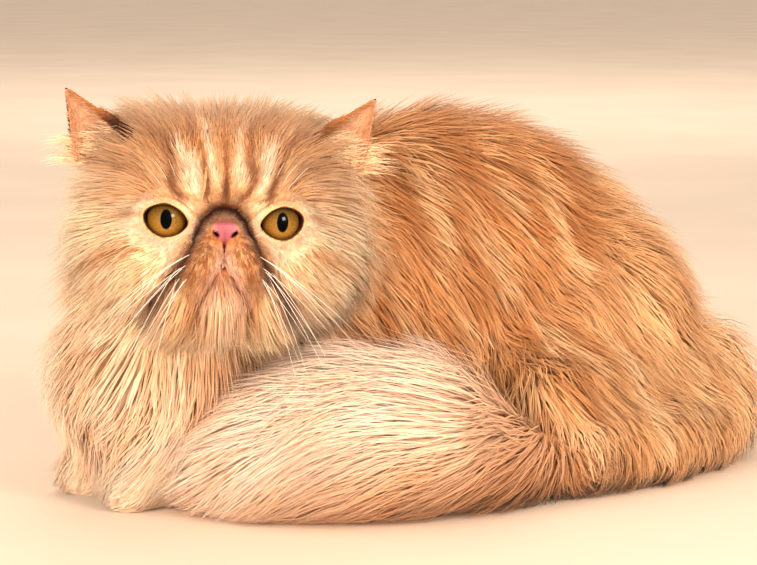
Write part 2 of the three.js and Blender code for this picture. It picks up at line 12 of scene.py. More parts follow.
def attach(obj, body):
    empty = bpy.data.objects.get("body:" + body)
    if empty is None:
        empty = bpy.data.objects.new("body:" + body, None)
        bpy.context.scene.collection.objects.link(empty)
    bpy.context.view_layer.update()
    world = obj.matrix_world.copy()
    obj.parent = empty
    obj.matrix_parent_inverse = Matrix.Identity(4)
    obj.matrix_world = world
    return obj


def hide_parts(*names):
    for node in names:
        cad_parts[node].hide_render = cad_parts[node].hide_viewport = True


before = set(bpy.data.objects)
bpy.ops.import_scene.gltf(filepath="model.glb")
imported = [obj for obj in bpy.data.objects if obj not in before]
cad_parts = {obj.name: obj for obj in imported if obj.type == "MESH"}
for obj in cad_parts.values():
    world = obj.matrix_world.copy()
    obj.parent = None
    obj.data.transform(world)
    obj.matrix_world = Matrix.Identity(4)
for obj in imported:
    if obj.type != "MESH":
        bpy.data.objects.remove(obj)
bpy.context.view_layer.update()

MM = 0.001
rng = np.random.default_rng(2024)

# Driving dimensions
BACK_HEIGHT = 205
TORSO_LENGTH = 288
TORSO_WIDTH = 146
TORSO_X = 32
HEAD_AT = np.array([-138.0, -69.0, 162.0])
HEAD_TURN = -20
HEAD_PITCH = 6
HEAD_ROLL = 2.5
SKULL = (50, 46, 50)
EYE_RADIUS = 11.4
EYE_AT = np.array([30.0, 3.0, 31.5])
LID = 1.7
EAR_HEIGHT = 36
EAR_WIDTH = 39
EAR_THICKNESS = 1.8
TAIL_RADIUS = 12
FLOOR_CLEAR = 0.4
FACE_COAT = 2.4
BODY_MELT = 16


def arr(*values):
    return np.array(values, float)


def smooth(x, low, high):
    t = np.clip((x - low) / (high - low), 0, 1)
    return t * t * (3 - 2 * t)


def fade(x, low, high):
    return 1 - smooth(x, low, high)


def mix(a, b, t):
    return a + (b - a) * t


def bell(x, width):
    return np.exp(-((x / width) ** 2))


def unit(v):
    return v / np.maximum(np.linalg.norm(v, axis=-1, keepdims=True), 1e-9)


def columns(*parts):
    """Numbers and arrays side by side, one to a column."""
    return np.stack(np.broadcast_arrays(*parts), 1)


# Distance functions, negative inside
def blob(p, centre, radii):
    radii = np.asarray(radii, float)
    d = (p - np.asarray(centre, float)) / radii
    near = np.linalg.norm(d, axis=1)
    slope = np.linalg.norm(d / radii, axis=1)
    return near * (near - 1) / np.maximum(slope, 1e-6)


def limb(p, start, end, r0, r1):
    start = np.asarray(start, float)
    line = np.asarray(end, float) - start
    t = np.clip((p - start) @ line / (line @ line), 0, 1)
    return np.linalg.norm(p - start - t[:, None] * line, axis=1) - (r0 + (r1 - r0) * t)


def chain(p, points, radii):
    lengths = [limb(p, a, b, r0, r1) for a, b, r0, r1 in zip(points, points[1:], radii, radii[1:])]
    return np.minimum.reduce(lengths)


def melt(k, *distances):
    d = distances[0]
    for other in distances[1:]:
        h = np.maximum(k - np.abs(d - other), 0) / k
        d = np.minimum(d, other) - h * h * k / 4
    return d


def line_distance(u, v, points):
    best = np.full(u.shape, 1e9)
    for (a, b), (c, d) in zip(points, points[1:]):
        du, dv = c - a, d - b
        t = np.clip(((u - a) * du + (v - b) * dv) / (du * du + dv * dv), 0, 1)
        best = np.minimum(best, np.hypot(u - a - t * du, v - b - t * dv))
    return best


# The head's own frame: U to the cat's left, V up, W out of the face
def head_axes():
    turn, pitch, roll = (math.radians(a) for a in (HEAD_TURN, HEAD_PITCH, HEAD_ROLL))
    w = arr(math.sin(turn) * math.cos(pitch), -math.cos(turn) * math.cos(pitch), math.sin(pitch))
    flat_u = arr(math.cos(turn), math.sin(turn), 0)
    u = flat_u * math.cos(roll) - np.cross(w, flat_u) * math.sin(roll)
    return np.stack([u, np.cross(w, u), w])


HEAD_AXES = head_axes()


def to_head(p):
    return (p - HEAD_AT) @ HEAD_AXES.T


def from_head(q):
    return HEAD_AT + q @ HEAD_AXES


# Lines of the face, on its left half: (across, up) from the head's middle
MUZZLE_FOLD = [(0, 9.5), (6, 8.5), (11, 3), (15, -6), (19, -16), (26, -27), (33, -36)]
MOUTH = [(0, -9), (0, -20.5), (4, -25), (9, -33.5), (13, -42)]
LIP_LINE = [(0, -12), (3.5, -20), (6, -27)]


def mirrored(q):
    return columns(np.abs(q[:, 0]), q[:, 1], q[:, 2])


def head_skin(q):
    p = mirrored(q)
    back = melt(14, blob(p, (0, 8, -8), SKULL), blob(p, (28, -14, 4), (30, 28, 34)),
                blob(p, (0, 28, 18), (30, 24, 28)))
    brow = melt(8, back, blob(p, (15, 19, 31), (17, 12, 14)), blob(p, (20, -30, 22), (20, 18, 18)))
    face = melt(6, brow, blob(p, (29, 2, 28), (17, 13, 13.5)), blob(p, (13, -18, 41), (14.5, 13.5, 13)),
                blob(p, (0, -35, 34), (15, 11, 13)))
    d = melt(4, face, blob(p, (0, -2, 43.5), (9.5, 7.5, 8)))
    front = smooth(q[:, 2], 12, 24)
    fold = line_distance(p[:, 0], p[:, 1], MUZZLE_FOLD)
    deep = mix(3, 5, smooth(p[:, 1], -12, 8))
    mouth = line_distance(p[:, 0], p[:, 1], MOUTH)
    return d + front * (deep * bell(fold, 2.8) + 1.6 * bell(mouth, 1.3))


# The line up the ear's inner edge, where the crown's hair parts round it
EAR_EDGE = [(44, 42), (68, 62)]


def head_turn(q):
    """Degrees from straight out of the face."""
    return np.degrees(np.arctan2(np.hypot(q[:, 0], q[:, 1]), q[:, 2] + 8))


def head_coat(q):
    a, v, w = mirrored(q).T
    turned = head_turn(q)
    longest = mix(35, 17, smooth(v / (np.hypot(a, v) + 1e-6), 0.7, 1))
    temple = 11 * smooth(turned, 58, 90) * fade(np.abs(v - 22), 18, 44)
    crown = 10 * bell(a - 38, 18) * smooth(v, 20, 38)
    lap = bell(line_distance(a, v, EAR_EDGE), 7) * smooth(w, -8, 2)
    return FACE_COAT + (longest * smooth(turned, 44, 96) + temple + crown) * (1 - 0.5 * lap)


def head_only(p):
    return head_skin(to_head(p))


# Flesh, group by group: the distance to its skin, the depth of its coat and the lie of its hair
TORSO_TOP = BACK_HEIGHT / 2
TAIL_PATH = [(184, 4, 58), (206, -36, 34), (186, -88, 24), (126, -120, 23), (60, -132, 24), (5, -134, 32)]
PLUME_PATH = [(5, -134, 32), (-38, -126, 47), (-82, -113, 47), (-116, -92, 36), (-134, -72, 22)]
FORELEGS = {
    "foreleg_left": ((-96, -46, 40), (-150, -40, 22), (-173, -38, 13)),
    "foreleg_right": ((-100, 44, 40), (-158, 24, 22), (-182, 16, 13)),
}


def torso_skin(p):
    return melt(26,
                blob(p, (TORSO_X, 0, TORSO_TOP - 14), (TORSO_LENGTH / 2, TORSO_WIDTH / 2, TORSO_TOP + 14)),
                blob(p, (112, 0, 76), (72, 66, 80)),
                blob(p, (-88, -2, 90), (60, 54, 92)))


def neck_skin(p):
    return melt(20, limb(p, (-80, 2, 142), (-114, -36, 152), 50, 36),
                limb(p, (-146, -33, 108), (-152, -14, 58), 38, 37))


def toes(paw, ahead, offsets, forward):
    places = []
    for side in offsets:
        reach = forward - abs(side) / 3
        places.append((paw[0] + math.cos(ahead) * reach - math.sin(ahead) * side,
                       paw[1] + math.sin(ahead) * reach + math.cos(ahead) * side, 8))
    return places


def foreleg_skin(p, elbow, wrist, paw):
    ahead = math.atan2(paw[1] - wrist[1], paw[0] - wrist[0])
    leg = melt(12, limb(p, elbow, wrist, 24, 16), limb(p, wrist, paw, 16, 13))
    return melt(5, leg, *[blob(p, toe, (7.5, 6.2, 9)) for toe in toes(paw, ahead, (-9, -3, 3, 9), 11)])


def hindleg_skin(p, side):
    hip, knee, hock = (128, side * 46, 92), (62, side * 62, 52), (148, side * 68, 18)
    paw = (66, side * 80, 12)
    foot = melt(6, limb(p, hock, paw, 13, 12),
                *[blob(p, toe, (8, 6, 9)) for toe in toes(paw, math.pi, (-8, -3, 3, 8), 12)])
    return melt(22, limb(p, hip, knee, 46, 31), limb(p, knee, hock, 26, 15), foot)


def tail_root_skin(p):
    """The tail's root with the loose skin of the flank that rests on it."""
    tail = chain(p, TAIL_PATH[:5], [TAIL_RADIUS + 2 - i / 2 for i in range(5)])
    return melt(20, tail, limb(p, (190, -60, 50), (60, -103, 44), 26, 23))


def plume_skin(p):
    return chain(p, [TAIL_PATH[4], *PLUME_PATH], (11, 13, 26, 26, 18, 9))


def plume_coat(p):
    return mix(17, 33, smooth(60 - p[:, 0], 0, 70))


def neck_coat(p):
    return mix(20, 36, smooth(155 - p[:, 2], 0, 40)) + 12 * smooth(p[:, 1], -25, 25)


def foreleg_coat(p, paw):
    return mix(5, 20, smooth(np.hypot(p[:, 0] - paw[0], p[:, 1] - paw[1]), 14, 62))


def hindleg_coat(p):
    return mix(4, 27, smooth(p[:, 2], 12, 50))


BODY = {
    "torso": (torso_skin, lambda p: mix(26, 33, smooth(160 - p[:, 2], 0, 100))),
    "neck": (neck_skin, neck_coat),
    "head": (head_only, lambda p: head_coat(to_head(p))),
    "foreleg_left": (lambda p: foreleg_skin(p, *FORELEGS["foreleg_left"]),
                     lambda p: foreleg_coat(p, FORELEGS["foreleg_left"][2])),
    "foreleg_right": (lambda p: foreleg_skin(p, *FORELEGS["foreleg_right"]),
                      lambda p: foreleg_coat(p, FORELEGS["foreleg_right"][2])),
    "hindleg_left": (lambda p: hindleg_skin(p, -1), hindleg_coat),
    "hindleg_right": (lambda p: hindleg_skin(p, 1), hindleg_coat),
    "tail_root": (tail_root_skin, lambda p: mix(19, 25, smooth(p[:, 0], 100, 190))),
}


def group_distances(p):
    return np.stack([skin(p) for skin, _ in BODY.values()])


def group_weights(distances, spread):
    weights = np.exp((distances.min(0) - distances) / spread)
    return weights / weights.sum(0)


def body_skin(p):
    return melt(BODY_MELT, *group_distances(p))


def body_coat(p):
    weights = group_weights(group_distances(p), 7)
    return sum(w * coat(p) for w, (_, coat) in zip(weights, BODY.values()))


def trunk_only(p):
    """The body without its head and the plume."""
    return melt(BODY_MELT, *[skin(p) for name, (skin, _) in BODY.items() if name != "head"])


def trunk_skin(p):
    """The body without its head, level with the floor."""
    return np.maximum(np.minimum(trunk_only(p), plume_skin(p)), FLOOR_CLEAR - p[:, 2])


def slope_of(distance, p):
    step = 0.4
    here = distance(p)
    slopes = [distance(p + step * axis) - here for axis in np.eye(3)]
    return here, unit(np.stack(slopes, 1))


# Eyes and lids
EYE_SPLAY = 10
EYE_SLANT = 11
LID_OPENING = (24.4, 17.7)
UPPER_LID = 0.46
LID_CURVE = 1.75


def opening_axes(side):
    """Rows: along the opening, up it and out of it, in the head's frame."""
    splay, slant = math.radians(side * EYE_SPLAY), math.radians(side * EYE_SLANT)
    x = arr(math.cos(splay), 0, -math.sin(splay))
    y = arr(0, 1, 0)
    z = arr(math.sin(splay), 0, math.cos(splay))
    tilted = y * math.cos(slant) - x * math.sin(slant)
    return np.stack([x * math.cos(slant) + y * math.sin(slant), tilted, z])


def eye_centre(side):
    return EYE_AT * arr(side, 1, 1)


def lid_height(upper):
    """From the opening's middle line to its rim."""
    return LID_OPENING[1] * np.where(upper, UPPER_LID, 1 - UPPER_LID)


def in_eye(q, side):
    """Places seen along the opening, from the eyeball's middle, and how far out of the opening they are."""
    local = (q - eye_centre(side)) @ opening_axes(side).T
    across = np.abs(local[:, 0]) / (LID_OPENING[0] / 2)
    up = np.abs(local[:, 1]) / lid_height(local[:, 1] > 0)
    return local, (across**LID_CURVE + up**LID_CURVE) ** (1 / LID_CURVE)


def off_eyes(q):
    """1 on the rim of the nearer opening, growing outwards, and large behind the face."""
    out = np.minimum(in_eye(q, -1)[1], in_eye(q, 1)[1])
    return np.where(q[:, 2] > 14, out, 9)


NOSTRIL_AT = arr(5.0, -4.0, 50)
NOSTRIL = (0.8, 2.1, 4)
NOSTRIL_TURN = 50


def nostril(q, side):
    turn = math.radians(-side * NOSTRIL_TURN)
    x, y, z = (q - NOSTRIL_AT * arr(side, 1, 1)).T
    turned = columns(x * math.cos(turn) + y * math.sin(turn), y * math.cos(turn) - x * math.sin(turn), z)
    return blob(turned, (0, 0, 0), NOSTRIL)


def head_form(q):
    """The head's skin with its finer folds, lids, lips and nostrils."""
    d = melt(2, head_skin(q) - 1.2, blob(mirrored(q), (0, -27.5, 43), (5, 3.6, 5)))
    p = mirrored(q)
    wings = blob(p, (5.6, -4.2, 47.5), (2.9, 3.6, 4.2))
    d = melt(1.2, d, wings)
    for side in (-1, 1):
        local, out = in_eye(q, side)
        ball = np.linalg.norm(local, axis=1)
        d = melt(6, d, ball - EYE_RADIUS - LID + 0.3)
        fold = bell(out - 1.42, 0.11) * smooth(local[:, 1], 0, 4) * smooth(local[:, 2], 2, 6)
        d = d + 0.9 * fold
        hole = np.maximum((out - 1) * LID_OPENING[1] * 0.45, 1.5 - local[:, 2])
        d = np.maximum(d, -hole)
        d = np.maximum(d, EYE_RADIUS + 0.25 - ball)
        d = np.maximum(d, -nostril(q, side))
    return d


# Meshes from distance functions
def surface_net(distance, low, high, step):
    """A closed quad mesh of the distance function's zero level."""
    block = 4
    low = np.asarray(low, float)
    counts = np.ceil((high - low) / (step * block)).astype(int)
    middles = np.indices(counts).reshape(3, -1).T * block * step + low + (block - 1) / 2 * step
    rough = distance(middles).reshape(counts)
    values = rough
    for axis in range(3):
        values = np.repeat(values, block, axis)
    near = np.abs(values) < block * step * 1.6
    values[near] = distance(np.argwhere(near) * step + low)
    inside = values < 0
    size = np.array(inside.shape)
    corners = sum(inside[tuple(slice(c, n - 1 + c) for c, n in zip(corner, size))].astype(int)
                  for corner in np.ndindex(2, 2, 2))
    active = (corners > 0) & (corners < 8)
    index = np.full(active.shape, -1)
    index[active] = np.arange(active.sum())
    points = (np.argwhere(active) + 0.5) * step + low
    quads = []
    for axis in range(3):
        b, c = (axis + 1) % 3, (axis + 2) % 3
        ahead = np.eye(3, dtype=int)[axis]
        span = tuple(slice(0, n - k) for n, k in zip(size, ahead))
        beyond = tuple(slice(k, n) for n, k in zip(size, ahead))
        at = np.argwhere(inside[span] != inside[beyond])
        at = at[(at[:, b] > 0) & (at[:, c] > 0) & (at[:, b] < size[b] - 1) & (at[:, c] < size[c] - 1)]
        cells = []
        for db, dc in ((1, 1), (0, 1), (0, 0), (1, 0)):
            cell = at.copy()
            cell[:, b] -= db
            cell[:, c] -= dc
            cells.append(index[tuple(cell.T)])
        quad = np.stack(cells, 1)
        quads.append(np.where(inside[tuple(at.T)][:, None], quad, quad[:, ::-1]))
    quads = np.concatenate(quads)
    return settle(points, quads, distance, step)


def settle(points, quads, distance, step):
    """Evens out the points, then lays them on the surface."""
    edges = np.concatenate([quads[:, [i, (i + 1) % 4]] for i in range(4)])
    start, end = np.concatenate([edges, edges[:, ::-1]]).T
    links = np.bincount(start, minlength=len(points))

    def laid(points):
        here, out = slope_of(distance, points)
        return points - out * np.clip(here, -step, step)[:, None]

    for _ in range(3):
        total = columns(*(np.bincount(start, points[end, k], len(points)) for k in range(3)))
        points = laid(mix(points, total / links[:, None], 0.5))
    return laid(points), quads


def linear(srgb):
    srgb = np.clip(srgb, 0, 1)
    return np.where(srgb <= 0.04045, srgb / 12.92, ((srgb + 0.055) / 1.055) ** 2.4)


def fill(collection, key, values, kind=np.float32):
    collection.foreach_set(key, np.ascontiguousarray(values, kind).ravel())


def mesh_object(name, points, faces, colours=None, uv=None, normals=None, **attributes):
    """A smooth object from points in millimetres and faces all of one size."""
    mesh = bpy.data.meshes.new(name)
    mesh.vertices.add(len(points))
    fill(mesh.vertices, "co", points * MM)
    mesh.loops.add(faces.size)
    fill(mesh.loops, "vertex_index", faces, np.int32)
    mesh.polygons.add(len(faces))
    fill(mesh.polygons, "loop_start", np.arange(0, faces.size, faces.shape[1]), np.int32)
    mesh.update(calc_edges=True)
    if colours is not None:
        layer = mesh.color_attributes.new("coat_colour", "FLOAT_COLOR", "POINT")
        fill(layer.data, "color", np.concatenate([linear(colours), np.ones((len(points), 1))], 1))
    if uv is not None:
        fill(mesh.uv_layers.new(name="OFBake").data, "uv", uv[faces.ravel()])
    for key, values in attributes.items():
        kind, field = ("FLOAT_VECTOR", "vector") if values.ndim == 2 else ("FLOAT", "value")
        fill(mesh.attributes.new(key, kind, "POINT").data, field, values)
    mesh.shade_smooth()
    if normals is not None:
        mesh.normals_split_custom_set_from_vertices(normals)
    piece = bpy.data.objects.new(name, mesh)
    bpy.context.scene.collection.objects.link(piece)
    return piece


# Markings, with some painted shade among them, the same for skin and coat: sRGB colours from a place on the
# skin
def shade(r, g, b):
    return arr(r, g, b) / 255


RED = shade(197, 134, 82)
DEEP_RED = shade(174, 106, 54)
GOLD = shade(240, 190, 140)
BROWN = shade(116, 70, 38)
CREAM = shade(251, 216, 186)
WARM_CREAM = shade(244, 194, 156)
PALE = shade(251, 210, 184)
FACE = shade(250, 212, 170)
FACE_LIGHT = shade(254, 224, 190)
FACE_DARK = shade(170, 108, 62)
FACE_BROWN = shade(108, 62, 34)
# Painted shade in the muzzle's folds, laid over the dark hair tips there; also the lids' own dark rim
FOLD_SHADE_AND_LID_RIM = shade(58, 28, 16)
# Dark fur with painted shade, low on the ears' inner edge
EAR_DARK_AND_SHADE = shade(74, 36, 18)
NOSE_PINK = shade(190, 96, 104)
NOSE_WING = shade(206, 130, 116)
NOSTRIL_RED = shade(84, 30, 30)
LIP = shade(244, 192, 176)


def ripple(p, scale, seed):
    """Smooth noise, mostly from -1 to 1, made of a few waves."""
    draws = np.random.default_rng(seed)
    total = np.zeros(len(p))
    for _ in range(6):
        way = unit(draws.normal(size=3)) * draws.uniform(0.7, 1.9) / scale
        total += np.sin(p @ way * 2 * math.pi + draws.uniform(0, 2 * math.pi))
    return total / 2.4


def blend(base, colour, amount):
    return base + (colour - base) * np.clip(amount, 0, 1)[:, None]


def filled(colour, p):
    return np.tile(colour, (len(p), 1))


def layered(colour, *layers):
    """The colour with each (tint, amount) laid over it in turn."""
    for tint, amount in layers:
        colour = blend(colour, tint, amount)
    return colour


def nose_mask(q):
    """1 on the bare nose leather, with its two wings and the groove below."""
    a, v = np.abs(q[:, 0]), q[:, 1]
    half = np.interp(v, (-9.5, -7.5, -5.5, -3, -0.5, 1.5, 2.8, 3.6), (0.4, 1.8, 4.4, 7, 7.6, 6.2, 3.6, 0))
    inside = np.minimum(half - a, 3.2 - v)
    return smooth(inside, -0.7, 1.0) * smooth(v, -10.5, -9) * smooth(q[:, 2], 38, 42)


def forehead(colour, a, v, w, warp):
    """The tabby lines over the brow, dark between pale."""
    over = smooth(v, 9, 15)
    rise = v - 14
    outer = bell(a - 15.5 - 0.3 * rise + warp, 4.2) * smooth(v, 12, 17) * fade(v, 34, 46)
    inner = bell(a - 5.2 - 0.16 * rise + warp, 2.6) * smooth(v, 16, 24) * fade(v, 46, 58)
    lines = np.maximum.reduce([
        0.95 * bell(a + 0.5 * warp, 1.9) * (1 - 0.6 * smooth(v, 36, 56)),
        0.8 * bell(a - 9 - 0.22 * rise + warp, 2.1),
        0.85 * bell(a - 22 - 0.33 * rise + warp, 2.7),
        0.5 * bell(a - 38 - 0.2 * rise + warp, 3.5) * smooth(v, 18, 28)])
    line_colour = blend(filled(FACE_DARK, a), FACE_BROWN, fade(v, 16, 40))
    return layered(
        colour,
        (RED, over * fade(a, 40, 62) * (0.62 + 0.36 * smooth(v, 24, 44))),
        (CREAM, 0.8 * np.maximum(outer, 0.8 * inner)),
        (line_colour, lines * over * smooth(w, -14, 6)))


def face_colour(q):
    a, v, w = mirrored(q).T
    front = smooth(w, 16, 26)
    warp = ripple(q, 26, 5) * 1.6
    lids = off_eyes(q)
    above = bell(v - 19 - 0.15 * (a - 40), 7) * smooth(a, 24, 34) * fade(a, 56, 70)
    muzzle = fade(np.hypot(a / 23, (v + 20) / 22), 0.75, 1.2) * front
    speck = 0.55 + 0.45 * smooth(ripple(q, 2.8, 21), -0.6, 0.8)
    bed = muzzle * smooth(a, 5, 11) * smooth(v, -30, -12) * smooth(ripple(q, 2.2, 22), -0.3, 0.9)
    bridge = fade(np.hypot(a / 9.5, (v - 4) / 6.5), 0.7, 1.15) * front
    chin = smooth(-v, 25, 31) * fade(a - 0.25 * (-v - 28), 5, 11) * smooth(w, 8, 18)
    colour = layered(
        filled(FACE, q),
        (FACE_LIGHT, 0.4 * smooth(ripple(q, 22, 8), -0.2, 0.9)),
        (FACE_LIGHT, 0.5 * fade(lids, 1.3, 2.3) * smooth(w, 5, 20)),
        (CREAM, 0.55 * above),
        (FACE_DARK, muzzle * speck),
        (FACE_BROWN, 0.55 * bed),
        (FACE_BROWN, 0.7 * bridge),
        (CREAM, 0.95 * chin))
    colour = forehead(colour, a, v, w, warp)
    corner = bell(v - 5 - 0.1 * (a - 44) + warp, 2.4) * smooth(a, 42, 47) * fade(a, 58, 68) * front
    cheek = bell(v + 11 + 0.12 * (a - 44) + warp, 3) * smooth(a, 38, 44) * fade(a, 60, 74)
    arc = bell(np.hypot(a - 40, v + 6) - 34 + warp, 4) * smooth(a, 56, 66)
    fold = line_distance(a, v, [*MUZZLE_FOLD, (48, -50)])
    deep = mix(0.7, 1, smooth(v, -24, -4)) * fade(-v, 30, 52)
    corners = smooth(-v, 20, 23) * fade(-v, 26, 36)
    return layered(
        colour,
        (FACE_DARK, np.maximum.reduce([0.6 * corner, 0.5 * cheek, 0.5 * arc])),
        (LIP, 0.85 * bell(line_distance(a, v, LIP_LINE), 3.6) * front),
        # Painted shade along the muzzle's folds, over the dark hair tips there, drawn on to (48, -50) past
        # the carved groove
        (FACE_BROWN, 0.6 * deep * bell(fold, 5) * front),
        (FOLD_SHADE_AND_LID_RIM, deep * bell(fold, 2) * front),
        (LIP, 0.7 * bell(lids - 1.17, 0.1) * smooth(3 - v, -8, 8) * front),
        # The lids' own dark rim
        (FOLD_SHADE_AND_LID_RIM, 0.95 * fade(lids, 0.99, 1.05) * front),
        # Painted shade along the mouth's corners
        (BROWN, 0.7 * bell(line_distance(a, v, MOUTH[1:]), 1.5) * corners * front))


def head_colour(p):
    q = to_head(p)
    low = smooth(-q[:, 1], 12, 44)
    side = layered(
        filled(FACE, p),
        (RED, 0.7 * smooth(-q[:, 2], -5, 30) * (1 - low)),
        (FACE_LIGHT, 0.5 * smooth(ripple(q, 34, 9), -0.2, 0.9)),
        (WARM_CREAM, 0.8 * low))
    return blend(face_colour(q), side, smooth(-q[:, 2], -20, 12))


# Bands that run down the flank with the lie of the coat
FLANK_WAY = unit(arr(0.5, -0.1, -0.86))
FLANK_ACROSS = unit(arr(0.86, 0, 0.5))


def body_colour(p):
    weights = group_weights(np.concatenate([group_distances(p), plume_skin(p)[None]]), 9)
    x, y, z = p.T
    banded = columns(p @ FLANK_ACROSS / 30, p @ FLANK_WAY / 110, y / 70)
    band = ripple(banded, 1.0, 31)
    fine = 0.4 * ripple(banded * arr(3.2, 2.2, 2), 1.0, 32)
    haunch = smooth(x, 20, 120) * smooth(-y, 0, 60) * smooth(185 - z, 0, 80)
    # Painted shade low along the flank, near the floor, deepest round the tail's root
    painted_low_shade = np.maximum(0.75 * smooth(x, -20, 50), 0.95 * smooth(x, 110, 200)) * smooth(32 - z, 0, 24)
    back = layered(
        filled(RED, p),
        (DEEP_RED, 0.75 * smooth(band + fine, 0.05, 1.0)),
        (GOLD, 0.8 * smooth(-band - fine, 0.0, 0.9)),
        (GOLD, 0.55 * np.maximum(haunch, smooth(90 - z, 0, 60))),
        (DEEP_RED, 0.4 * smooth(z, 165, 215)),
        (BROWN, painted_low_shade * smooth(ripple(p, 30, 33), -1.2, 0.5)))
    front = smooth(-x - 0.25 * z, 62, 98) * smooth(190 - z, 0, 40)
    strand = ripple(columns(x / 14, y / 14, z / 80), 1.0, 34)
    bib = blend(back, blend(filled(WARM_CREAM, p), CREAM, 0.8 * smooth(strand, -0.6, 0.6)), front)
    leg = blend(filled(WARM_CREAM, p), CREAM, smooth(-x, 120, 165))
    foot = blend(back, WARM_CREAM, 0.6 * smooth(45 - z, 0, 35) * fade(x, 60, 110))
    # One for each group of the body, in order, and one for the plume
    colours = [back, bib, head_colour(p), leg, leg, foot, foot, back, plume_colour(p)]
    return sum(w[:, None] * colour for w, colour in zip(weights, colours))


def plume_colour(p):
    x, y, z = p.T
    streak = ripple(columns(x / 120, y / 22, (z + 0.25 * x) / 16), 1.0, 41)
    return layered(
        filled(PALE, p),
        (WARM_CREAM, 0.7 * smooth(streak, 0, 0.9)),
        (RED, 0.85 * smooth(56 - z, 0, 36) * smooth(x, -120, 0)),
        (BROWN, 0.6 * smooth(x, -20, 50) * smooth(60 - z, 0, 40)))


# The lie of the hair
def path_way(p, points):
    ways = np.stack([unit(np.subtract(b, a).astype(float)) for a, b in zip(points, points[1:])])
    distances = np.stack([limb(p, a, b, 0, 0) for a, b in zip(points, points[1:])])
    weights = group_weights(distances, 8)
    return weights.T @ ways


def face_lie(q):
    """Away from the nose: up over the brow, out over the cheeks, down over the muzzle and off the eyes."""
    u, v = q[:, 0], q[:, 1]
    below = smooth(-v, 2, 12)
    over = smooth(v, 6, 16)
    way = unit(columns(u * mix(1, 0.8, over), v * mix(1, 1.2, over) + 6 * over - 15 * below, -8.0))
    for side in (-1, 1):
        local, out = in_eye(q, side)
        axes = opening_axes(side)
        away = unit(local[:, :1] * axes[0] + local[:, 1:2] * axes[1])
        near = fade(out, 1.15, 2.0) * smooth(local[:, 2], 0, 4)
        way = way * (1 - 0.9 * near)[:, None] + away * (0.9 * near)[:, None]
    return way


def body_lies(p, n):
    side = np.abs(n[:, 1])
    back = np.maximum(n[:, 0], 0)
    torso = columns(0.85 - 0.45 * side, 0.35 * n[:, 1], -0.25 - 0.7 * side - 0.8 * back)
    neck = unit(p - HEAD_AT) + arr(0, 0, -0.8)
    q = to_head(p)
    on_face = fade(head_turn(q), 46, 66)[:, None]
    ruff = unit(q - arr(0, -4, 20)) @ HEAD_AXES + arr(0, 0, -0.3)
    head = on_face * (face_lie(q) @ HEAD_AXES) + (1 - on_face) * ruff
    lies = {"torso": torso, "neck": neck, "head": head}
    for name, (elbow, wrist, paw) in FORELEGS.items():
        outward = -1 if name.endswith("left") else 1
        near_paw = fade(np.hypot(p[:, 0] - paw[0], p[:, 1] - paw[1]), 25, 70)[:, None]
        down_leg = unit(np.subtract(paw, elbow).astype(float))
        lies[name] = near_paw * down_leg + (1 - near_paw) * arr(0.3, outward * 0.3, -0.8)
    for name, outward in (("hindleg_left", -1), ("hindleg_right", 1)):
        foot = (smooth(34 - p[:, 2], 0, 20) * fade(p[:, 0], 70, 110))[:, None]
        lies[name] = (1 - foot) * arr(0.5, outward * 0.1, -0.9) + foot * arr(-0.8, 0, -0.3)
    grounded = smooth(20 - p[:, 2], 0, 16)[:, None]
    along = path_way(p, TAIL_PATH)
    falling = 0.1 * along + arr(0.15, -0.35, -0.8)
    lies["tail_root"] = mix(falling, 0.7 * along + arr(0, -0.3, -0.5), grounded)
    weights = group_weights(group_distances(p), 12)
    return sum(w[:, None] * unit(np.broadcast_to(lies[name], p.shape)) for w, name in zip(weights, BODY))


def plume_lies(p, n):
    """Along the tail, fanning out from where it comes from under the flank, and falling at the sides."""
    way = unit(path_way(p, [*TAIL_PATH, *PLUME_PATH[1:]]))
    fan = unit(p - arr(40, -128, 40))
    mixed = mix(fan, way, smooth(20 - p[:, 0], 0, 110)[:, None])
    fall = smooth(30 - p[:, 0], 0, 60) * (0.25 * np.minimum(n[:, 2] - 0.9, 0))
    mixed[:, 2] += fall
    return mixed


# Tufts: a field is what hair grows in, by the skin's distance, the coat's depth, the lie and an unwrap
Field = namedtuple("Field", "skin coat lies unwrap")


def on_head(p):
    return head_form(to_head(p))


def face_stand(p):
    """How far the short hair of the face stands from its skin."""
    q = to_head(p)
    beard = smooth(-q[:, 1], 26, 36) * fade(np.abs(q[:, 0]), 12, 24)
    return 1.0 + 0.08 * face_length(q) + 5 * beard + 0.8 * (head_coat(q) - FACE_COAT)


def face_length(q):
    a, v = np.abs(q[:, 0]), q[:, 1]
    long = mix(3.6, 20, smooth(head_turn(q), 18, 64))
    pads = smooth(-v, 8, 26) * fade(a, 24, 36)
    beard = smooth(-v, 24, 36) * fade(a, 10, 22)
    brow = smooth(v, 14, 30)
    long = long + 5 * pads + 17 * beard + 3 * brow
    nose = fade(np.hypot(a, v + 1), 8, 15)
    lids = fade(off_eyes(q), 1.1, 2.2)
    return long * (1 - 0.55 * np.maximum(nose, lids))


def beard_depth(p):
    return 5 + 24 * smooth(-to_head(p)[:, 1], 30, 58)


def beard_lies(p, n):
    return columns(to_head(p)[:, 0] / 60, -1.0, 0.1) @ HEAD_AXES


def turn_about(v, axis, angle):
    cosine, sine = np.cos(angle)[:, None], np.sin(angle)[:, None]
    return v * cosine + np.cross(axis, v) * sine + axis * (v * axis).sum(1, keepdims=True) * (1 - cosine)


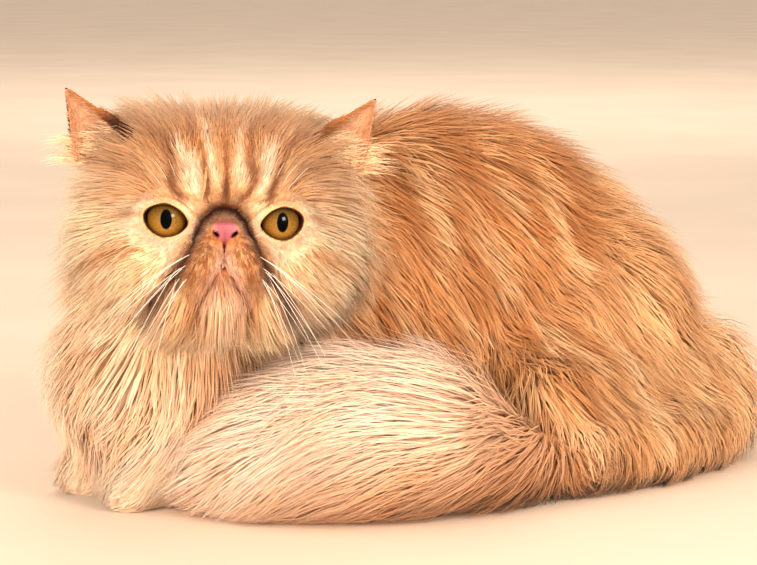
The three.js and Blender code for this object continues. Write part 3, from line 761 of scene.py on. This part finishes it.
def grow(roots, field, length, top, spans, rise, swing, curl):
    """Stations along each tuft: places and outward directions, each (spans + 1, tufts, 3).

    Where the lie points away from the skin, the tuft creeps less along it and stands more."""
    _, n = slope_of(field.skin, roots)
    p = roots - 0.8 * n
    places, outs = [p], [n]
    step = (length / spans)[:, None]
    for i in range(1, spans + 1):
        way = unit(field.lies(p, n))
        standing = (way * n).sum(1, keepdims=True)
        way = unit(way - n * standing)
        way = turn_about(way, n, swing + curl * (i - spans / 2))
        p = p + way * step * np.sqrt(1 - np.clip(standing, 0, 0.95) ** 2)
        here, n = slope_of(field.skin, p)
        target = field.coat(p) * top * (i / spans) ** rise
        p = p + n * np.clip(target - here, -1.3 * step[:, 0], 0.8 * step[:, 0])[:, None]
        p[:, 2] = np.maximum(p[:, 2], FLOOR_CLEAR + 0.3)
        places.append(p)
        outs.append(n)
    return np.stack(places), np.stack(outs)


def gather(places, roots, spacing, pull):
    """Draws tufts towards a leader near by, so that they close into soft locks."""
    count = len(roots)
    leaders = rng.permutation(count)[: max(1, int(count / spacing))]
    tree = KDTree(len(leaders))
    for i, leader in enumerate(leaders):
        tree.insert(roots[leader], i)
    tree.balance()
    chosen = np.array([leaders[tree.find(root)[1]] for root in roots])
    spans = len(places) - 1
    offset = places[0] - places[0][chosen]
    gathered = places.copy()
    for i in range(1, spans + 1):
        t = i / spans
        gathered[i] = mix(places[i], places[i][chosen] + offset * (1 - 0.75 * t), pull * t)
    return gathered, chosen


# Share of the way up a tuft, and its width there
TUFT_SHAPE = ((0.0, 0.3, 0.7, 1.0), (0.4, 1.0, 0.72, 0.0))
# How far a tuft is lit as the coat's own surface is
SOFTNESS = 0.84
# The marking's tint at a tuft's root and at its tip; the darker, warmer root is partly the coat's golden
# undercoat and partly painted warm shade deep in the coat
ROOT_TONE_AND_SHADE = (1.0, 0.88, 0.75)
TIP_TONE = 1.04
# A tuft's patch on the unwrap
PATCH = 0.003


def tuft_mesh(name, places, outs, wide, colours, uv_root):
    """Tapered tufts of three sides, pointed at the root and the tip, each closed and softly shaded."""
    spans, count = len(places) - 1, places.shape[1]
    ways = unit(np.gradient(places, axis=0))
    profile = np.interp(np.arange(spans + 1) / spans, *TUFT_SHAPE)
    rows, facing = [places[0][:, None]], [outs[0][:, None]]
    for i in range(1, spans):
        side = unit(np.cross(outs[i], ways[i]))
        up = np.cross(ways[i], side)
        half = (wide * profile[i])[:, None]
        low = places[i] - up * half * 0.2
        rows.append(columns(low + side * half, places[i] + up * half * 0.45, low - side * half))
        facing.append(mix(columns(side, up, -side), outs[i][:, None], SOFTNESS))
    points = np.concatenate([*rows, places[-1][:, None]], 1).reshape(-1, 3)
    points[:, 2] = np.maximum(points[:, 2], FLOOR_CLEAR)
    normals = unit(np.concatenate([*facing, outs[-1][:, None]], 1).reshape(-1, 3))
    size = 3 * (spans - 1) + 2
    faces = []
    for k in range(3):
        b = (k + 1) % 3
        faces += [(0, 1 + b, 1 + k), (size - 4 + k, size - 4 + b, size - 1)]
        for row in range(1, size - 4, 3):
            faces += [(row + k, row + b, row + b + 3), (row + k, row + b + 3, row + k + 3)]
    faces = (np.array(faces) + np.arange(count)[:, None, None] * size).reshape(-1, 3)
    share = np.concatenate([[0], np.repeat(np.arange(1, spans) / spans, 3), [1.0]])
    # Darker and warmer towards the root: partly golden undercoat, partly painted warm shade deep in the
    # coat
    tone = mix(arr(*ROOT_TONE_AND_SHADE), TIP_TONE, share[:, None])
    across = np.concatenate([[0.5], np.tile((0, 0.5, 1), spans - 1), [0.5]])
    uv = uv_root[:, None, :] + PATCH * columns(across, share)
    return mesh_object(name, points, faces, (colours[:, None, :] * tone).reshape(-1, 3),
                       uv.reshape(-1, 2), normals)


# Unwraps of the skin's own shape, each into the unit square
def unwrap_body(p):
    around = np.arctan2(p[:, 1], p[:, 2] - 70) / (2 * math.pi) + 0.5
    return 0.002 + 0.99 * columns(around, (p[:, 0] + 240) / 490)


def unwrap_plume(p):
    path = np.array(PLUME_PATH)[::-1]
    y, z = (np.interp(p[:, 0], path[:, 0], path[:, k]) for k in (1, 2))
    around = np.arctan2(p[:, 1] - y, p[:, 2] - z) / (2 * math.pi) + 0.5
    return 0.002 + 0.99 * columns(around, np.clip((p[:, 0] + 170) / 250, 0, 1))


def unwrap_head(p):
    q = to_head(p)
    turned = 0.49 * np.arctan2(np.hypot(q[:, 0], q[:, 1]), q[:, 2]) / math.pi
    around = np.arctan2(q[:, 1], q[:, 0])
    return 0.498 + turned[:, None] * columns(np.cos(around), np.sin(around))


BODY_FIELD = Field(body_skin, body_coat, body_lies, unwrap_body)
CHEEK_FIELD = Field(body_skin, body_coat, body_lies, unwrap_head)
PLUME_FIELD = Field(plume_skin, plume_coat, plume_lies, unwrap_plume)
FACE_FIELD = Field(on_head, face_stand, body_lies, unwrap_head)
BEARD_FIELD = Field(on_head, beard_depth, beard_lies, unwrap_head)


def scatter(points, quads, wanted, density):
    """About the wanted number of roots on a mesh, as thick as density(place) asks."""
    c = points[quads]
    area = 0.5 * np.linalg.norm(np.cross(c[:, 2] - c[:, 0], c[:, 3] - c[:, 1]), axis=1)
    share = area * density(c.mean(1))
    chosen = rng.choice(len(quads), wanted, p=share / share.sum())
    s, t = rng.random(wanted)[:, None], rng.random(wanted)[:, None]
    a, b, c, d = (points[quads[chosen, i]] for i in range(4))
    return (a * (1 - s) + b * s) * (1 - t) + (d * (1 - s) + c * s) * t


# Materials
def new_material(name):
    material = bpy.data.materials.new(name)
    material.use_nodes = True
    return material, material.node_tree, material.node_tree.nodes["Principled BSDF"]


def connect(tree, node, inputs):
    """Links each input that is given a socket, and sets the others."""
    for key, value in inputs.items():
        if isinstance(value, bpy.types.NodeSocket):
            tree.links.new(value, node.inputs[key])
        else:
            node.inputs[key].default_value = value


def add_node(tree, kind, inputs=None, **properties):
    """The outputs of a new node."""
    node = tree.nodes.new("ShaderNode" + kind)
    for key, value in properties.items():
        setattr(node, key, value)
    connect(tree, node, inputs or {})
    return node.outputs


def attribute(tree, name, output):
    return add_node(tree, "Attribute", attribute_name=name)[output]


def noise(tree, scale):
    place = add_node(tree, "TexCoord")["Object"]
    return add_node(tree, "TexNoise", {"Vector": place, "Scale": scale, "Detail": 3})["Fac"]


def ranged(tree, value, low, high, new_low, new_high):
    limits = {"From Min": low, "From Max": high, "To Min": new_low, "To Max": new_high}
    return add_node(tree, "MapRange", {"Value": value, **limits})["Result"]


def scaled(tree, colour, strength):
    return add_node(tree, "VectorMath", {0: colour, "Scale": strength}, operation="SCALE")["Vector"]


def math_node(tree, operation, *inputs):
    return add_node(tree, "Math", dict(enumerate(inputs)), operation=operation)[0]


def mottled(tree, colour, grain, low, high):
    """The colour, from darker to lighter with the grain."""
    return scaled(tree, colour, ranged(tree, grain, 0.3, 0.7, low, high))


def fur_material():
    material, tree, shader = new_material("fur")
    colour = attribute(tree, "coat_colour", "Color")
    connect(tree, shader, {
        "Base Color": mottled(tree, colour, noise(tree, 240), 0.9, 1.08),
        "Roughness": 0.6, "Specular IOR Level": 0.22,
        "Sheen Weight": 0.3, "Sheen Roughness": 0.5, "Sheen Tint": (1.0, 0.86, 0.68, 1)})
    return material


def skin_material():
    material, tree, shader = new_material("skin_under_fur")
    grain = noise(tree, 1400)
    bump = add_node(tree, "Bump", {"Strength": 0.5, "Distance": 0.0005, "Height": grain})
    connect(tree, shader, {
        "Base Color": mottled(tree, attribute(tree, "coat_colour", "Color"), grain, 0.88, 1.08),
        "Roughness": ranged(tree, attribute(tree, "wet", "Fac"), 0, 1, 0.8, 0.38),
        "Normal": bump["Normal"]})
    return material


def plain_material(name, colour, roughness, low=0.85, high=1.15, scale=500):
    material, tree, shader = new_material(name)
    base = add_node(tree, "RGB")[0]
    base.default_value = (*linear(colour), 1)
    connect(tree, shader, {"Base Color": mottled(tree, base, noise(tree, scale), low, high),
                           "Roughness": roughness})
    return material


FUR = fur_material()
SKIN = skin_material()


def dress(piece, material, slot, *nodes):
    piece.data.materials.append(material)
    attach(piece, "root")
    if nodes:
        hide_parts(*nodes)


# Skin
# The skin under the coat, darker and warmer than the marking: painted warm shade deep in the coat
SKIN_PAINTED_SHADE = arr(0.98, 0.87, 0.73)
HEAD_STEP = 1.15
TRUNK_STEP = 3.0


def skin_colour(p):
    q = to_head(p)
    a, v, w = mirrored(q).T
    leather = layered(
        filled(NOSE_PINK, p),
        (NOSE_WING, smooth(a, 3.6, 6)),
        (NOSTRIL_RED, 0.5 * smooth(v, -0.5, 3.2)))
    # Painted shade down the middle of the nose leather and the philtrum's groove
    groove = bell(a, 0.7) * smooth(-v, 0, 3) * fade(-v, 20, 22) * smooth(w, 38, 42)
    inside = np.minimum(nostril(q, -1), nostril(q, 1))
    return layered(
        body_colour(p) * SKIN_PAINTED_SHADE,
        (leather, nose_mask(q)),
        (NOSE_PINK * 0.72, 0.6 * groove),
        # Painted shade inside the nostrils' holes
        (NOSTRIL_RED, fade(inside, 0, 0.7) * smooth(w, 38, 42)))


head_points, head_quads = surface_net(head_form, arr(-78, -66, -66), arr(78, 66, 64), HEAD_STEP)
head_points = from_head(head_points)
trunk_points, trunk_quads = surface_net(trunk_skin, arr(-225, -185, -6), arr(240, 110, 220), TRUNK_STEP)
skin_points = np.concatenate([trunk_points, head_points])
skin_quads = np.concatenate([trunk_quads, head_quads + len(trunk_points)])
skin = mesh_object("skin", skin_points, skin_quads, skin_colour(skin_points),
                   wet=nose_mask(to_head(skin_points)))
dress(skin, SKIN, "red_fur", "head", "neck", "torso", "foreleg_left", "foreleg_right", "hindleg_left",
      "hindleg_right", "tail_base", "tail_middle", "tail_plume")


# Eyes
IRIS_RADIUS = 11.8
PUPIL = (6.3, 10.8)
GAZE = 1.3
EYE_RINGS = 47
EYE_SEGMENTS = 64
# From the pupil's middle to the iris's rim
IRIS_COLOURS = [(0, shade(176, 144, 92)), (0.3, shade(176, 132, 62)), (0.5, shade(170, 118, 42)),
                (0.8, shade(156, 100, 32)), (0.92, shade(110, 62, 24)), (1.0, shade(44, 22, 12))]


def ring_faces(rings, sides):
    """Triangles of a closed skin over rings of points, with the two end points last."""
    ring = np.arange(rings * sides).reshape(rings, sides)
    after = np.roll(ring, -1, 1)
    low, high = ring[:-1].ravel(), ring[1:].ravel()
    low_after, high_after = after[:-1].ravel(), after[1:].ravel()
    return np.concatenate([columns(rings * sides, after[0], ring[0]),
                           columns(rings * sides + 1, ring[-1], after[-1]),
                           columns(low, low_after, high_after), columns(low, high_after, high)])


def eye(side):
    polar, around = np.meshgrid(np.linspace(0, math.pi, EYE_RINGS + 2)[1:-1],
                                np.linspace(0, 2 * math.pi, EYE_SEGMENTS, endpoint=False), indexing="ij")
    ways = np.stack([np.sin(polar) * np.cos(around), np.sin(polar) * np.sin(around), np.cos(polar)], -1)
    ways = np.concatenate([ways.reshape(-1, 3), [(0, 0, 1), (0, 0, -1)]])
    cornea = 1 + 0.06 * bell(np.degrees(np.arccos(np.clip(ways[:, 2], -1, 1))), 26)
    local = ways * EYE_RADIUS * cornea[:, None]
    name = "eye_left" if side > 0 else "eye_right"
    faces = ring_faces(EYE_RINGS, EYE_SEGMENTS)[:, ::-1]
    piece = mesh_object(f"{name}_ball", from_head(local + eye_centre(side)), faces,
                        eye_place=local - arr(side * GAZE, 0, 0))
    dress(piece, EYE, "eye", name)


def ramp(tree, value, stops):
    node = tree.nodes.new("ShaderNodeValToRGB")
    elements = node.color_ramp.elements
    elements[0].position, elements[1].position = stops[0][0], stops[-1][0]
    for place, _ in stops[1:-1]:
        elements.new(place)
    for element, (_, colour) in zip(elements, stops):
        element.color = (*linear(colour), 1)
    tree.links.new(value, node.inputs["Fac"])
    return node.outputs["Color"]


def squares(tree, *values):
    return math_node(tree, "ADD", *(math_node(tree, "MULTIPLY", value, value) for value in values))


def eye_material():
    """Amber iris with fine fibres and a painted shadow of the upper lid over its top, round an upright
    pupil.
    """
    material, tree, shader = new_material("eye")
    parts = add_node(tree, "SeparateXYZ", {"Vector": attribute(tree, "eye_place", "Vector")})
    x, y = parts["X"], parts["Y"]
    radius = math_node(tree, "SQRT", squares(tree, x, y))
    iris = ramp(tree, math_node(tree, "DIVIDE", radius, IRIS_RADIUS), IRIS_COLOURS)
    angle = math_node(tree, "ARCTAN2", y, x)
    spokes = {axis: math_node(tree, "MULTIPLY", math_node(tree, wave, angle), 2.0)
              for axis, wave in (("X", "SINE"), ("Y", "COSINE"))}
    spokes = add_node(tree, "CombineXYZ", {**spokes, "Z": math_node(tree, "MULTIPLY", radius, 0.1)})
    fibres = add_node(tree, "TexNoise", {"Vector": spokes["Vector"], "Scale": 8, "Detail": 5})["Fac"]
    fibred = mottled(tree, iris, fibres, 0.66, 1.3)
    # Painted shadow of the upper lid: darker at the iris's top, slightly lighter at its bottom
    shaded = scaled(tree, fibred, ranged(tree, y, 8, -7, 0.14, 1.04))
    pupil = (math_node(tree, "DIVIDE", place, size / 2) for place, size in zip((x, y), PUPIL))
    edge = ranged(tree, squares(tree, *pupil), 0.88, 1.12, 0, 1)
    colour = add_node(tree, "Mix", {"A": (0.002, 0.002, 0.002, 1), "B": shaded, "Factor": edge},
                      data_type="RGBA")["Result"]
    connect(tree, shader, {"Base Color": colour, "Roughness": 0.5, "Specular IOR Level": 0.1,
                           "Coat Weight": 1.0, "Coat Roughness": 0.02})
    return material


EYE = eye_material()
for eye_side in (-1, 1):
    eye(eye_side)


def tube(path, radii, sides):
    """Points and triangles of a closed tapered tube along a path."""
    path = np.asarray(path, float)
    ways = unit(np.gradient(path, axis=0))
    side = unit(np.cross(ways[0], (0.31, 0.42, 0.85)))
    angles = 2 * math.pi * np.arange(sides) / sides
    points = []
    for at, way, radius in zip(path, ways, radii):
        side = unit(side - way * (side @ way))
        ring = np.cos(angles)[:, None] * side + np.sin(angles)[:, None] * np.cross(way, side)
        points.append(at + radius * ring)
    return np.concatenate([*points, path[[0, -1]]]), ring_faces(len(path), sides)


def joined(pieces):
    """Several (points, triangles) as one."""
    starts = np.cumsum([0, *[len(points) for points, _ in pieces]])
    return (np.concatenate([points for points, _ in pieces]),
            np.concatenate([triangles + start for (_, triangles), start in zip(pieces, starts)]))


def lid_rim(side):
    """The dark moist edge of the lids, round the opening and over the eyeball."""
    angles = np.linspace(0, 2 * math.pi, 97)
    sine, cosine = np.sin(angles), np.cos(angles)
    power = 2 / LID_CURVE
    x = (LID_OPENING[0] / 2 - 0.1) * np.sign(cosine) * np.abs(cosine) ** power
    y = (lid_height(sine > 0) - 0.1) * np.sign(sine) * np.abs(sine) ** power
    reach = EYE_RADIUS + LID - 0.5
    z = np.sqrt(np.maximum(reach**2 - x**2 - y**2, 4))
    local = columns(x, y, z) @ opening_axes(side) + eye_centre(side)
    corner = bell(side * x + LID_OPENING[0] / 2, 3)
    return tube(from_head(local), 0.42 + 0.5 * corner, 8)


rims = mesh_object("lid_rims", *joined([lid_rim(-1), lid_rim(1)]))
dress(rims, plain_material("lid_rim", shade(70, 36, 24), 0.4), "ear")


# Ears: thin cupped leaves
EAR_PINK = shade(224, 170, 136)
EAR_TAN = shade(190, 132, 92)
EAR_RUST = shade(176, 112, 62)
EAR_CELLS = (24, 28)


def ear_place(side, s, t, out):
    up = np.maximum(t, 0)
    wide = (EAR_WIDTH / 2) * (1 - up**1.25) + 0.7
    cup = 9 * (1 - up) ** 0.6 * (1 - s**2)
    v = EAR_HEIGHT * t - 4 * s * (1 - t)
    w = -cup - 2 + out * (EAR_THICKNESS / 2) * (1 - 0.35 * t)
    return np.stack([side * (60 + s * wide + 25 * up**1.15), 37 + v, w], -1)


def ear_colour(s, t, out):
    brown = smooth(-s, 0.66, 0.9)
    inner = layered(
        filled(EAR_PINK, s),
        (EAR_TAN, 0.3 + 0.6 * np.maximum(smooth(s, 0.2, 1), smooth(t, 0.5, 1))),
        # Dark fur and painted shade low on the inner edge, rust higher up
        (EAR_DARK_AND_SHADE, brown * fade(t, 0.3, 0.8)),
        (EAR_RUST, brown * smooth(t, 0.3, 0.8)))
    return inner if out > 0 else filled(EAR_RUST, s)


def ear(side):
    across, up = EAR_CELLS
    s, t = (grid.ravel() for grid in np.meshgrid(np.linspace(-1, 1, across + 1), np.linspace(0, 1, up + 1)))
    grid = np.arange(s.size).reshape(up + 1, across + 1)
    inner = np.stack([grid[:-1, :-1], grid[:-1, 1:], grid[1:, 1:], grid[1:, :-1]], -1).reshape(-1, 4)
    edge = np.concatenate([grid[0, :-1], grid[:-1, -1], grid[-1, :0:-1], grid[:0:-1, 0]])
    after = np.roll(edge, -1)
    rim = columns(edge, edge + s.size, after + s.size, after)
    quads = np.concatenate([inner, inner[:, ::-1] + s.size, rim])[:, ::side]
    points = np.concatenate([from_head(ear_place(side, s, t, out)) for out in (1, -1)])
    colours = np.concatenate([ear_colour(s, t, out) for out in (1, -1)])
    name = "ear_left" if side > 0 else "ear_right"
    piece = mesh_object(f"{name}_leaf", points, quads, colours, wet=np.zeros(2 * s.size))
    dress(piece, SKIN, "ear", name)


for ear_side in (-1, 1):
    ear(ear_side)


# The coat
TUFTS = {"trunk": 59500, "plume": 18500, "cheeks": 18000, "face": 31000, "beard": 2600}
MOST_TUFTS = 14000
BEARD = 34.0
# Shares of the tufts that are undercoat, and that stray
UNDERCOAT = 0.36
LONE = 0.03
# Widths of the tufts of the undercoat and of the others, as shares of a coat's own
THICK = 0.95
THIN = 0.31


def tuft_colours(roots, chosen, spread):
    """Each root's marking, with each lock and each tuft a little lighter or darker."""
    tone = rng.normal(0, spread, len(roots))[chosen] + rng.normal(0, 0.035, len(roots))
    tone = np.clip(tone, -0.12, 0.1)
    warmth = np.clip(rng.normal(0, 0.02, len(roots)), -0.04, 0.04)[chosen]
    return body_colour(roots) * (1 + tone[:, None] + warmth[:, None] * arr(0.4, -0.2, -1))


def coat(name, roots, field, slot, length, width, spans=3, stand=1, rise=0.8, spacing=30, pull=0.3,
         wander=0.16, spread=0.04):
    """One region's coat, in as many pieces as its tufts need."""
    count = len(roots)
    lone = rng.random(count) < LONE
    under = rng.random(count) < UNDERCOAT
    low = rng.uniform(0.35, 0.72, count)
    reach = np.where(under, low, np.clip(rng.beta(3.4, 1.1, count) * 1.15, 0.4, 1.02)) + 0.12 * lone
    swing = wander * ripple(roots, 42, 51) + rng.normal(0, 0.05, count)
    swing += 0.1 * lone * rng.normal(0, 1, count)
    curl = 0.14 * ripple(roots, 30, 52) + rng.normal(0, 0.03, count)
    places, outs = grow(roots, field, length * rng.uniform(0.75, 1.15, count), stand * reach, spans, rise,
                        swing, curl)
    along = unit(places[-1] - places[-2]) * unit(field.lies(places[-1], outs[-1]))
    over_eyes = np.any([off_eyes(to_head(at)) < 1.04 for at in places[1:]], 0)
    kept = (along.sum(1) >= 0.1) & ~over_eyes
    places, chosen = gather(places, roots, spacing, pull * ~under[:, None])
    places[1:] += rng.normal(0, 0.012, places[1:].shape) * length[None, :, None]
    places[:, :, 2] = np.maximum(places[:, :, 2], FLOOR_CLEAR + 0.3)
    wide = width * rng.uniform(0.7, 1.3, count) * np.where(under, THICK, THIN)
    colours = tuft_colours(roots, chosen, spread)
    uv = field.unwrap(roots)
    parts = max(1, math.ceil(count / (MOST_TUFTS if spans > 2 else 2 * MOST_TUFTS)))
    for k, some in enumerate(np.array_split(np.argsort(roots[:, 1]), parts)):
        some = some[kept[some]]
        label = f"coat_{name}" if parts == 1 else f"coat_{name}_{k + 1}"
        piece = tuft_mesh(label, places[:, some], outs[:, some], wide[some], colours[some], uv[some])
        dress(piece, FUR, slot)


def above_floor(p):
    return np.where(p[:, 2] > 1.5, 1.0, 0.0)


def trunk_density(p):
    """Thickest over the chest, thinner on the belly side."""
    chest = smooth(-p[:, 0], 88, 116)
    return above_floor(p) * (1 + 0.8 * chest - 0.3 * smooth(p[:, 1], 10, 50) * (1 - chest))


def grow_trunk():
    roots = scatter(trunk_points, trunk_quads, int(TUFTS["trunk"] * 1.45), trunk_density)
    is_plume = plume_skin(roots) < trunk_only(roots)
    roots = roots[~is_plume & (plume_skin(roots) > 1.5) & (head_only(roots) > 1.5)]
    rng.shuffle(roots)
    roots = roots[: TUFTS["trunk"]]
    names = [name for name in BODY if name != "head"]
    nearest = np.argmin(np.stack([BODY[name][0](roots) for name in names]), 0)
    for i, name in enumerate(names):
        own = roots[nearest == i]
        depth = body_coat(own)
        slot = "cream_fur" if name in ("neck", "foreleg_left", "foreleg_right") else "red_fur"
        coat(name, own, BODY_FIELD, slot, 8 + 1.6 * depth, 0.5 + 0.028 * depth)


def grow_plume():
    roots = scatter(trunk_points, trunk_quads, TUFTS["plume"] * 9,
                    lambda p: above_floor(p) * (plume_skin(p) < 1))
    roots = roots[(trunk_only(roots) > 1.5) & (head_only(roots) > 1.5)][: TUFTS["plume"]]
    depth = plume_coat(roots)
    coat("plume", roots, PLUME_FIELD, "cream_fur", 14 + 2.2 * depth, 0.5 + 0.028 * depth, pull=0.35,
         wander=0.1)


def bare(p):
    """Where the face has no hair: nose leather, lids' rims and the line of the mouth."""
    q = to_head(p)
    mouth = line_distance(np.abs(q[:, 0]), q[:, 1], MOUTH)
    return (nose_mask(q) > 0.2) | (off_eyes(q) < 1.09) | ((mouth < 0.9) & (q[:, 2] > 25) & (q[:, 1] > -27))


def under_chin(p):
    u, v, w = to_head(p).T
    return 0.001 + smooth(-v, 30, 38) * fade(np.abs(u), 16, 40) * smooth(w, -6, 12)


def grow_head():
    def turned(p):
        return head_turn(to_head(p))

    def on_face(p):
        near = 0.25 + 0.75 * (turned(p) < 34) + 1.2 * (off_eyes(to_head(p)) < 1.7)
        return near * (turned(p) < 62)

    roots = scatter(head_points, head_quads, TUFTS["face"] * 3, on_face)
    roots = roots[(trunk_only(roots) > 1.5) & ~bare(roots)][: TUFTS["face"]]
    q = to_head(roots)
    lids = fade(off_eyes(q), 1.05, 1.6)
    coat("face", roots, FACE_FIELD, "face_fur", face_length(q), mix(0.62, 0.4, lids), spans=2, rise=0.9,
         spacing=9, pull=0.35, wander=0.12, spread=0.065)
    roots = scatter(head_points, head_quads, TUFTS["cheeks"] * 2, lambda p: turned(p) >= 54)
    roots = roots[trunk_only(roots) > 1.5][: TUFTS["cheeks"]]
    depth = head_coat(to_head(roots))
    coat("cheeks", roots, CHEEK_FIELD, "face_fur", 9 + 1.2 * depth, 0.45 + 0.02 * depth, stand=1.25,
         rise=0.7, spacing=16, pull=0.35)
    roots = scatter(head_points, head_quads, TUFTS["beard"] * 2, under_chin)
    roots = roots[trunk_only(roots) > 1.5][: TUFTS["beard"]]
    coat("beard", roots, BEARD_FIELD, "face_fur", np.full(len(roots), BEARD), 0.9, rise=0.9, spacing=22,
         pull=0.45)


def ear_strands(side, s, t, out, way, long, width, colour, spread=0.12):
    """Hair that grows from an ear's leaf: its stations, the way it faces, width and colour."""
    count = len(s)
    roots = ear_place(side, s, t, out)
    ways = columns(*(part + 0 * s for part in way)) * arr(side, 1, 1)
    ways = unit(ways + rng.normal(0, spread, (count, 3)))
    bend = arr(side * 0.25, -0.35, -0.2)
    stations = [from_head(roots + ways * (long * share)[:, None] + bend * (long * share**2)[:, None])
                for share in (0, 0.33, 0.67, 1)]
    tone = 1 + rng.normal(0, 0.1, count)
    stations = np.stack(stations)
    facing = np.broadcast_to(out * HEAD_AXES[2], stations.shape)
    return stations, facing, np.full(count, width / 2), colour * tone[:, None]


def on_leaf(count, inner, outer, low, high):
    count = count
    return rng.uniform(inner, outer, count), rng.uniform(low, high, count)


def grow_ears():
    """Fuzz inside, longer hair over the base, a dark fringe on the inner edge and short hair behind."""
    for side in (-1, 1):
        s, t = on_leaf(2600, -0.95, 1, 0, 0.95)
        along = (0.45 - 0.33 * s, 0.81 + 0.19 * s)
        groups = [ear_strands(side, s, t, 1, (*along, 0.2), mix(7, 3, t), 0.4, ear_colour(s, t, 1))]
        s, t = on_leaf(560, -0.85, 1, -0.08, 0.3)
        long = mix(8, 24, rng.random(len(s)) ** 2)
        pale = blend(filled(FACE, s), WARM_CREAM, rng.random(len(s)))
        groups.append(ear_strands(side, s, t, 1, (0.55 + 0.25 * s, 0.42, 0.42), long, 0.3, pale, 0.16))
        s, t = on_leaf(900, -1, -0.74, -0.04, 0.62)
        # The right ear's fringe starts as dark fur with painted shade, the left ear's as darker rust
        fringe = blend(filled(EAR_DARK_AND_SHADE if side < 0 else EAR_RUST * 0.8, s), EAR_RUST, smooth(t, 0.38, 0.62))
        groups.append(ear_strands(side, s, t, 1, (0.2, 0.55, 0.8), mix(16, 5, t), 0.5, fringe))
        s, t = on_leaf(1800, -1, 1, 0, 0.97)
        along = (0.45 - 0.33 * s, 0.81 + 0.19 * s)
        rust = filled(EAR_RUST, s)
        groups.append(ear_strands(side, s, t, -1, (*along, -0.05), mix(9, 3, t), 0.5, rust, 0.06))
        places, outs = (np.concatenate([group[i] for group in groups], 1) for i in (0, 1))
        wide, colours = (np.concatenate([group[i] for group in groups]) for i in (2, 3))
        label = "coat_ear_left" if side > 0 else "coat_ear_right"
        dress(tuft_mesh(label, places, outs, wide, colours, unwrap_head(places[0])), FUR, "ear")


grow_trunk()
grow_plume()
grow_head()
grow_ears()


# Whiskers
def bent_hair(root, way, long, droop, radius):
    t = np.linspace(0, 1, 9)
    path = root + np.outer(t * long, unit(way)) + np.outer(t**2, droop)
    return tube(from_head(path), mix(radius, 0.05, t), 4)


def whiskers():
    hairs = []
    for side in (-1, 1):
        for row in range(3):
            for i in range(4):
                root = (14 + 3.4 * i, -13 - 4.2 * row - 1.5 * i, 49 - 0.6 * i * i - 1.2 * row)
                fall = math.radians(24 + 13 * row + 5 * i + rng.normal(0, 5))
                way = arr(side * math.cos(fall), -math.sin(fall), 0.5 - 0.08 * i)
                long = rng.uniform(46, 70)
                hairs.append(bent_hair(arr(side, 1, 1) * root, way, long, arr(0, -11, -12), 0.21))
        for i in range(3):
            root = arr(side * (24 + 4 * i), 18, 40 - 2 * i)
            way = arr(side * (0.3 + 0.15 * i), 0.9, 0.35)
            hairs.append(bent_hair(root, way, 24, arr(0, -4, -3), 0.16))
    return joined(hairs)


dress(mesh_object("whiskers", *whiskers()),
      plain_material("whisker", shade(252, 240, 220), 0.35, 0.95, 1.05), "cream_fur")


# The stage, in metres
CAMERA_AT = (-0.6430, -1.2075, 0.3048)
CAMERA_DROP = 8
CAMERA_TURN = -28
LENS = 107
SENSOR = 36
FLOOR_REACH = 60.0


def soft_light(name, place, aim, size, power, colour, in_eyes=False):
    light = bpy.data.lights.new(name, "AREA")
    light.size = size
    light.energy = power
    light.color = colour
    lamp = bpy.data.objects.new(name, light)
    bpy.context.scene.collection.objects.link(lamp)
    lamp.location = place
    lamp.rotation_euler = (Vector(aim) - Vector(place)).to_track_quat("-Z", "Y").to_euler()
    lamp.visible_glossy = in_eyes


def stage():
    corners = arr((-1, -1, 0), (1, -1, 0), (1, 1, 0), (-1, 1, 0)) * FLOOR_REACH / MM
    floor = mesh_object("floor", corners, np.array([(0, 1, 2, 3)]))
    floor.data.materials.append(plain_material("pale_floor", shade(236, 210, 182), 0.9, 0.96, 1.04, 3))
    floor.visible_glossy = False
    world = bpy.data.worlds.new("studio")
    bpy.context.scene.world = world
    world.use_nodes = True
    background = world.node_tree.nodes["Background"]
    background.inputs["Color"].default_value = (1.0, 0.94, 0.89, 1)
    background.inputs["Strength"].default_value = 0.86
    world.cycles_visibility.glossy = False
    middle = (0, -0.03, 0.1)
    soft_light("key", (0.3, -1.55, 1.03), (-0.12, -0.07, 0.14), 0.62, 13, (1.0, 0.97, 0.93), in_eyes=True)
    soft_light("left_fill", (-1.6, -1.0, 0.7), middle, 1.6, 40, (1.0, 0.95, 0.89))
    soft_light("right_fill", (0.9, -1.5, 0.5), middle, 1.2, 12, (1.0, 0.95, 0.89))
    soft_light("wash", (1.6, 2.6, 2.4), (2.8, 5.6, 0), 2.5, 60, (1.0, 0.95, 0.9))
    soft_light("rim", (0.3, 1.1, 1.5), middle, 1.2, 9, (1.0, 0.95, 0.9))


def camera():
    lens = bpy.data.cameras.new("camera")
    lens.lens = LENS
    lens.sensor_width = SENSOR
    lens.sensor_fit = "HORIZONTAL"
    viewer = bpy.data.objects.new("camera", lens)
    bpy.context.scene.collection.objects.link(viewer)
    viewer.location = CAMERA_AT
    viewer.rotation_euler = (math.radians(90 - CAMERA_DROP), 0, math.radians(CAMERA_TURN))
    bpy.context.scene.camera = viewer
    bpy.context.scene.view_settings.view_transform = "Standard"


stage()
camera()
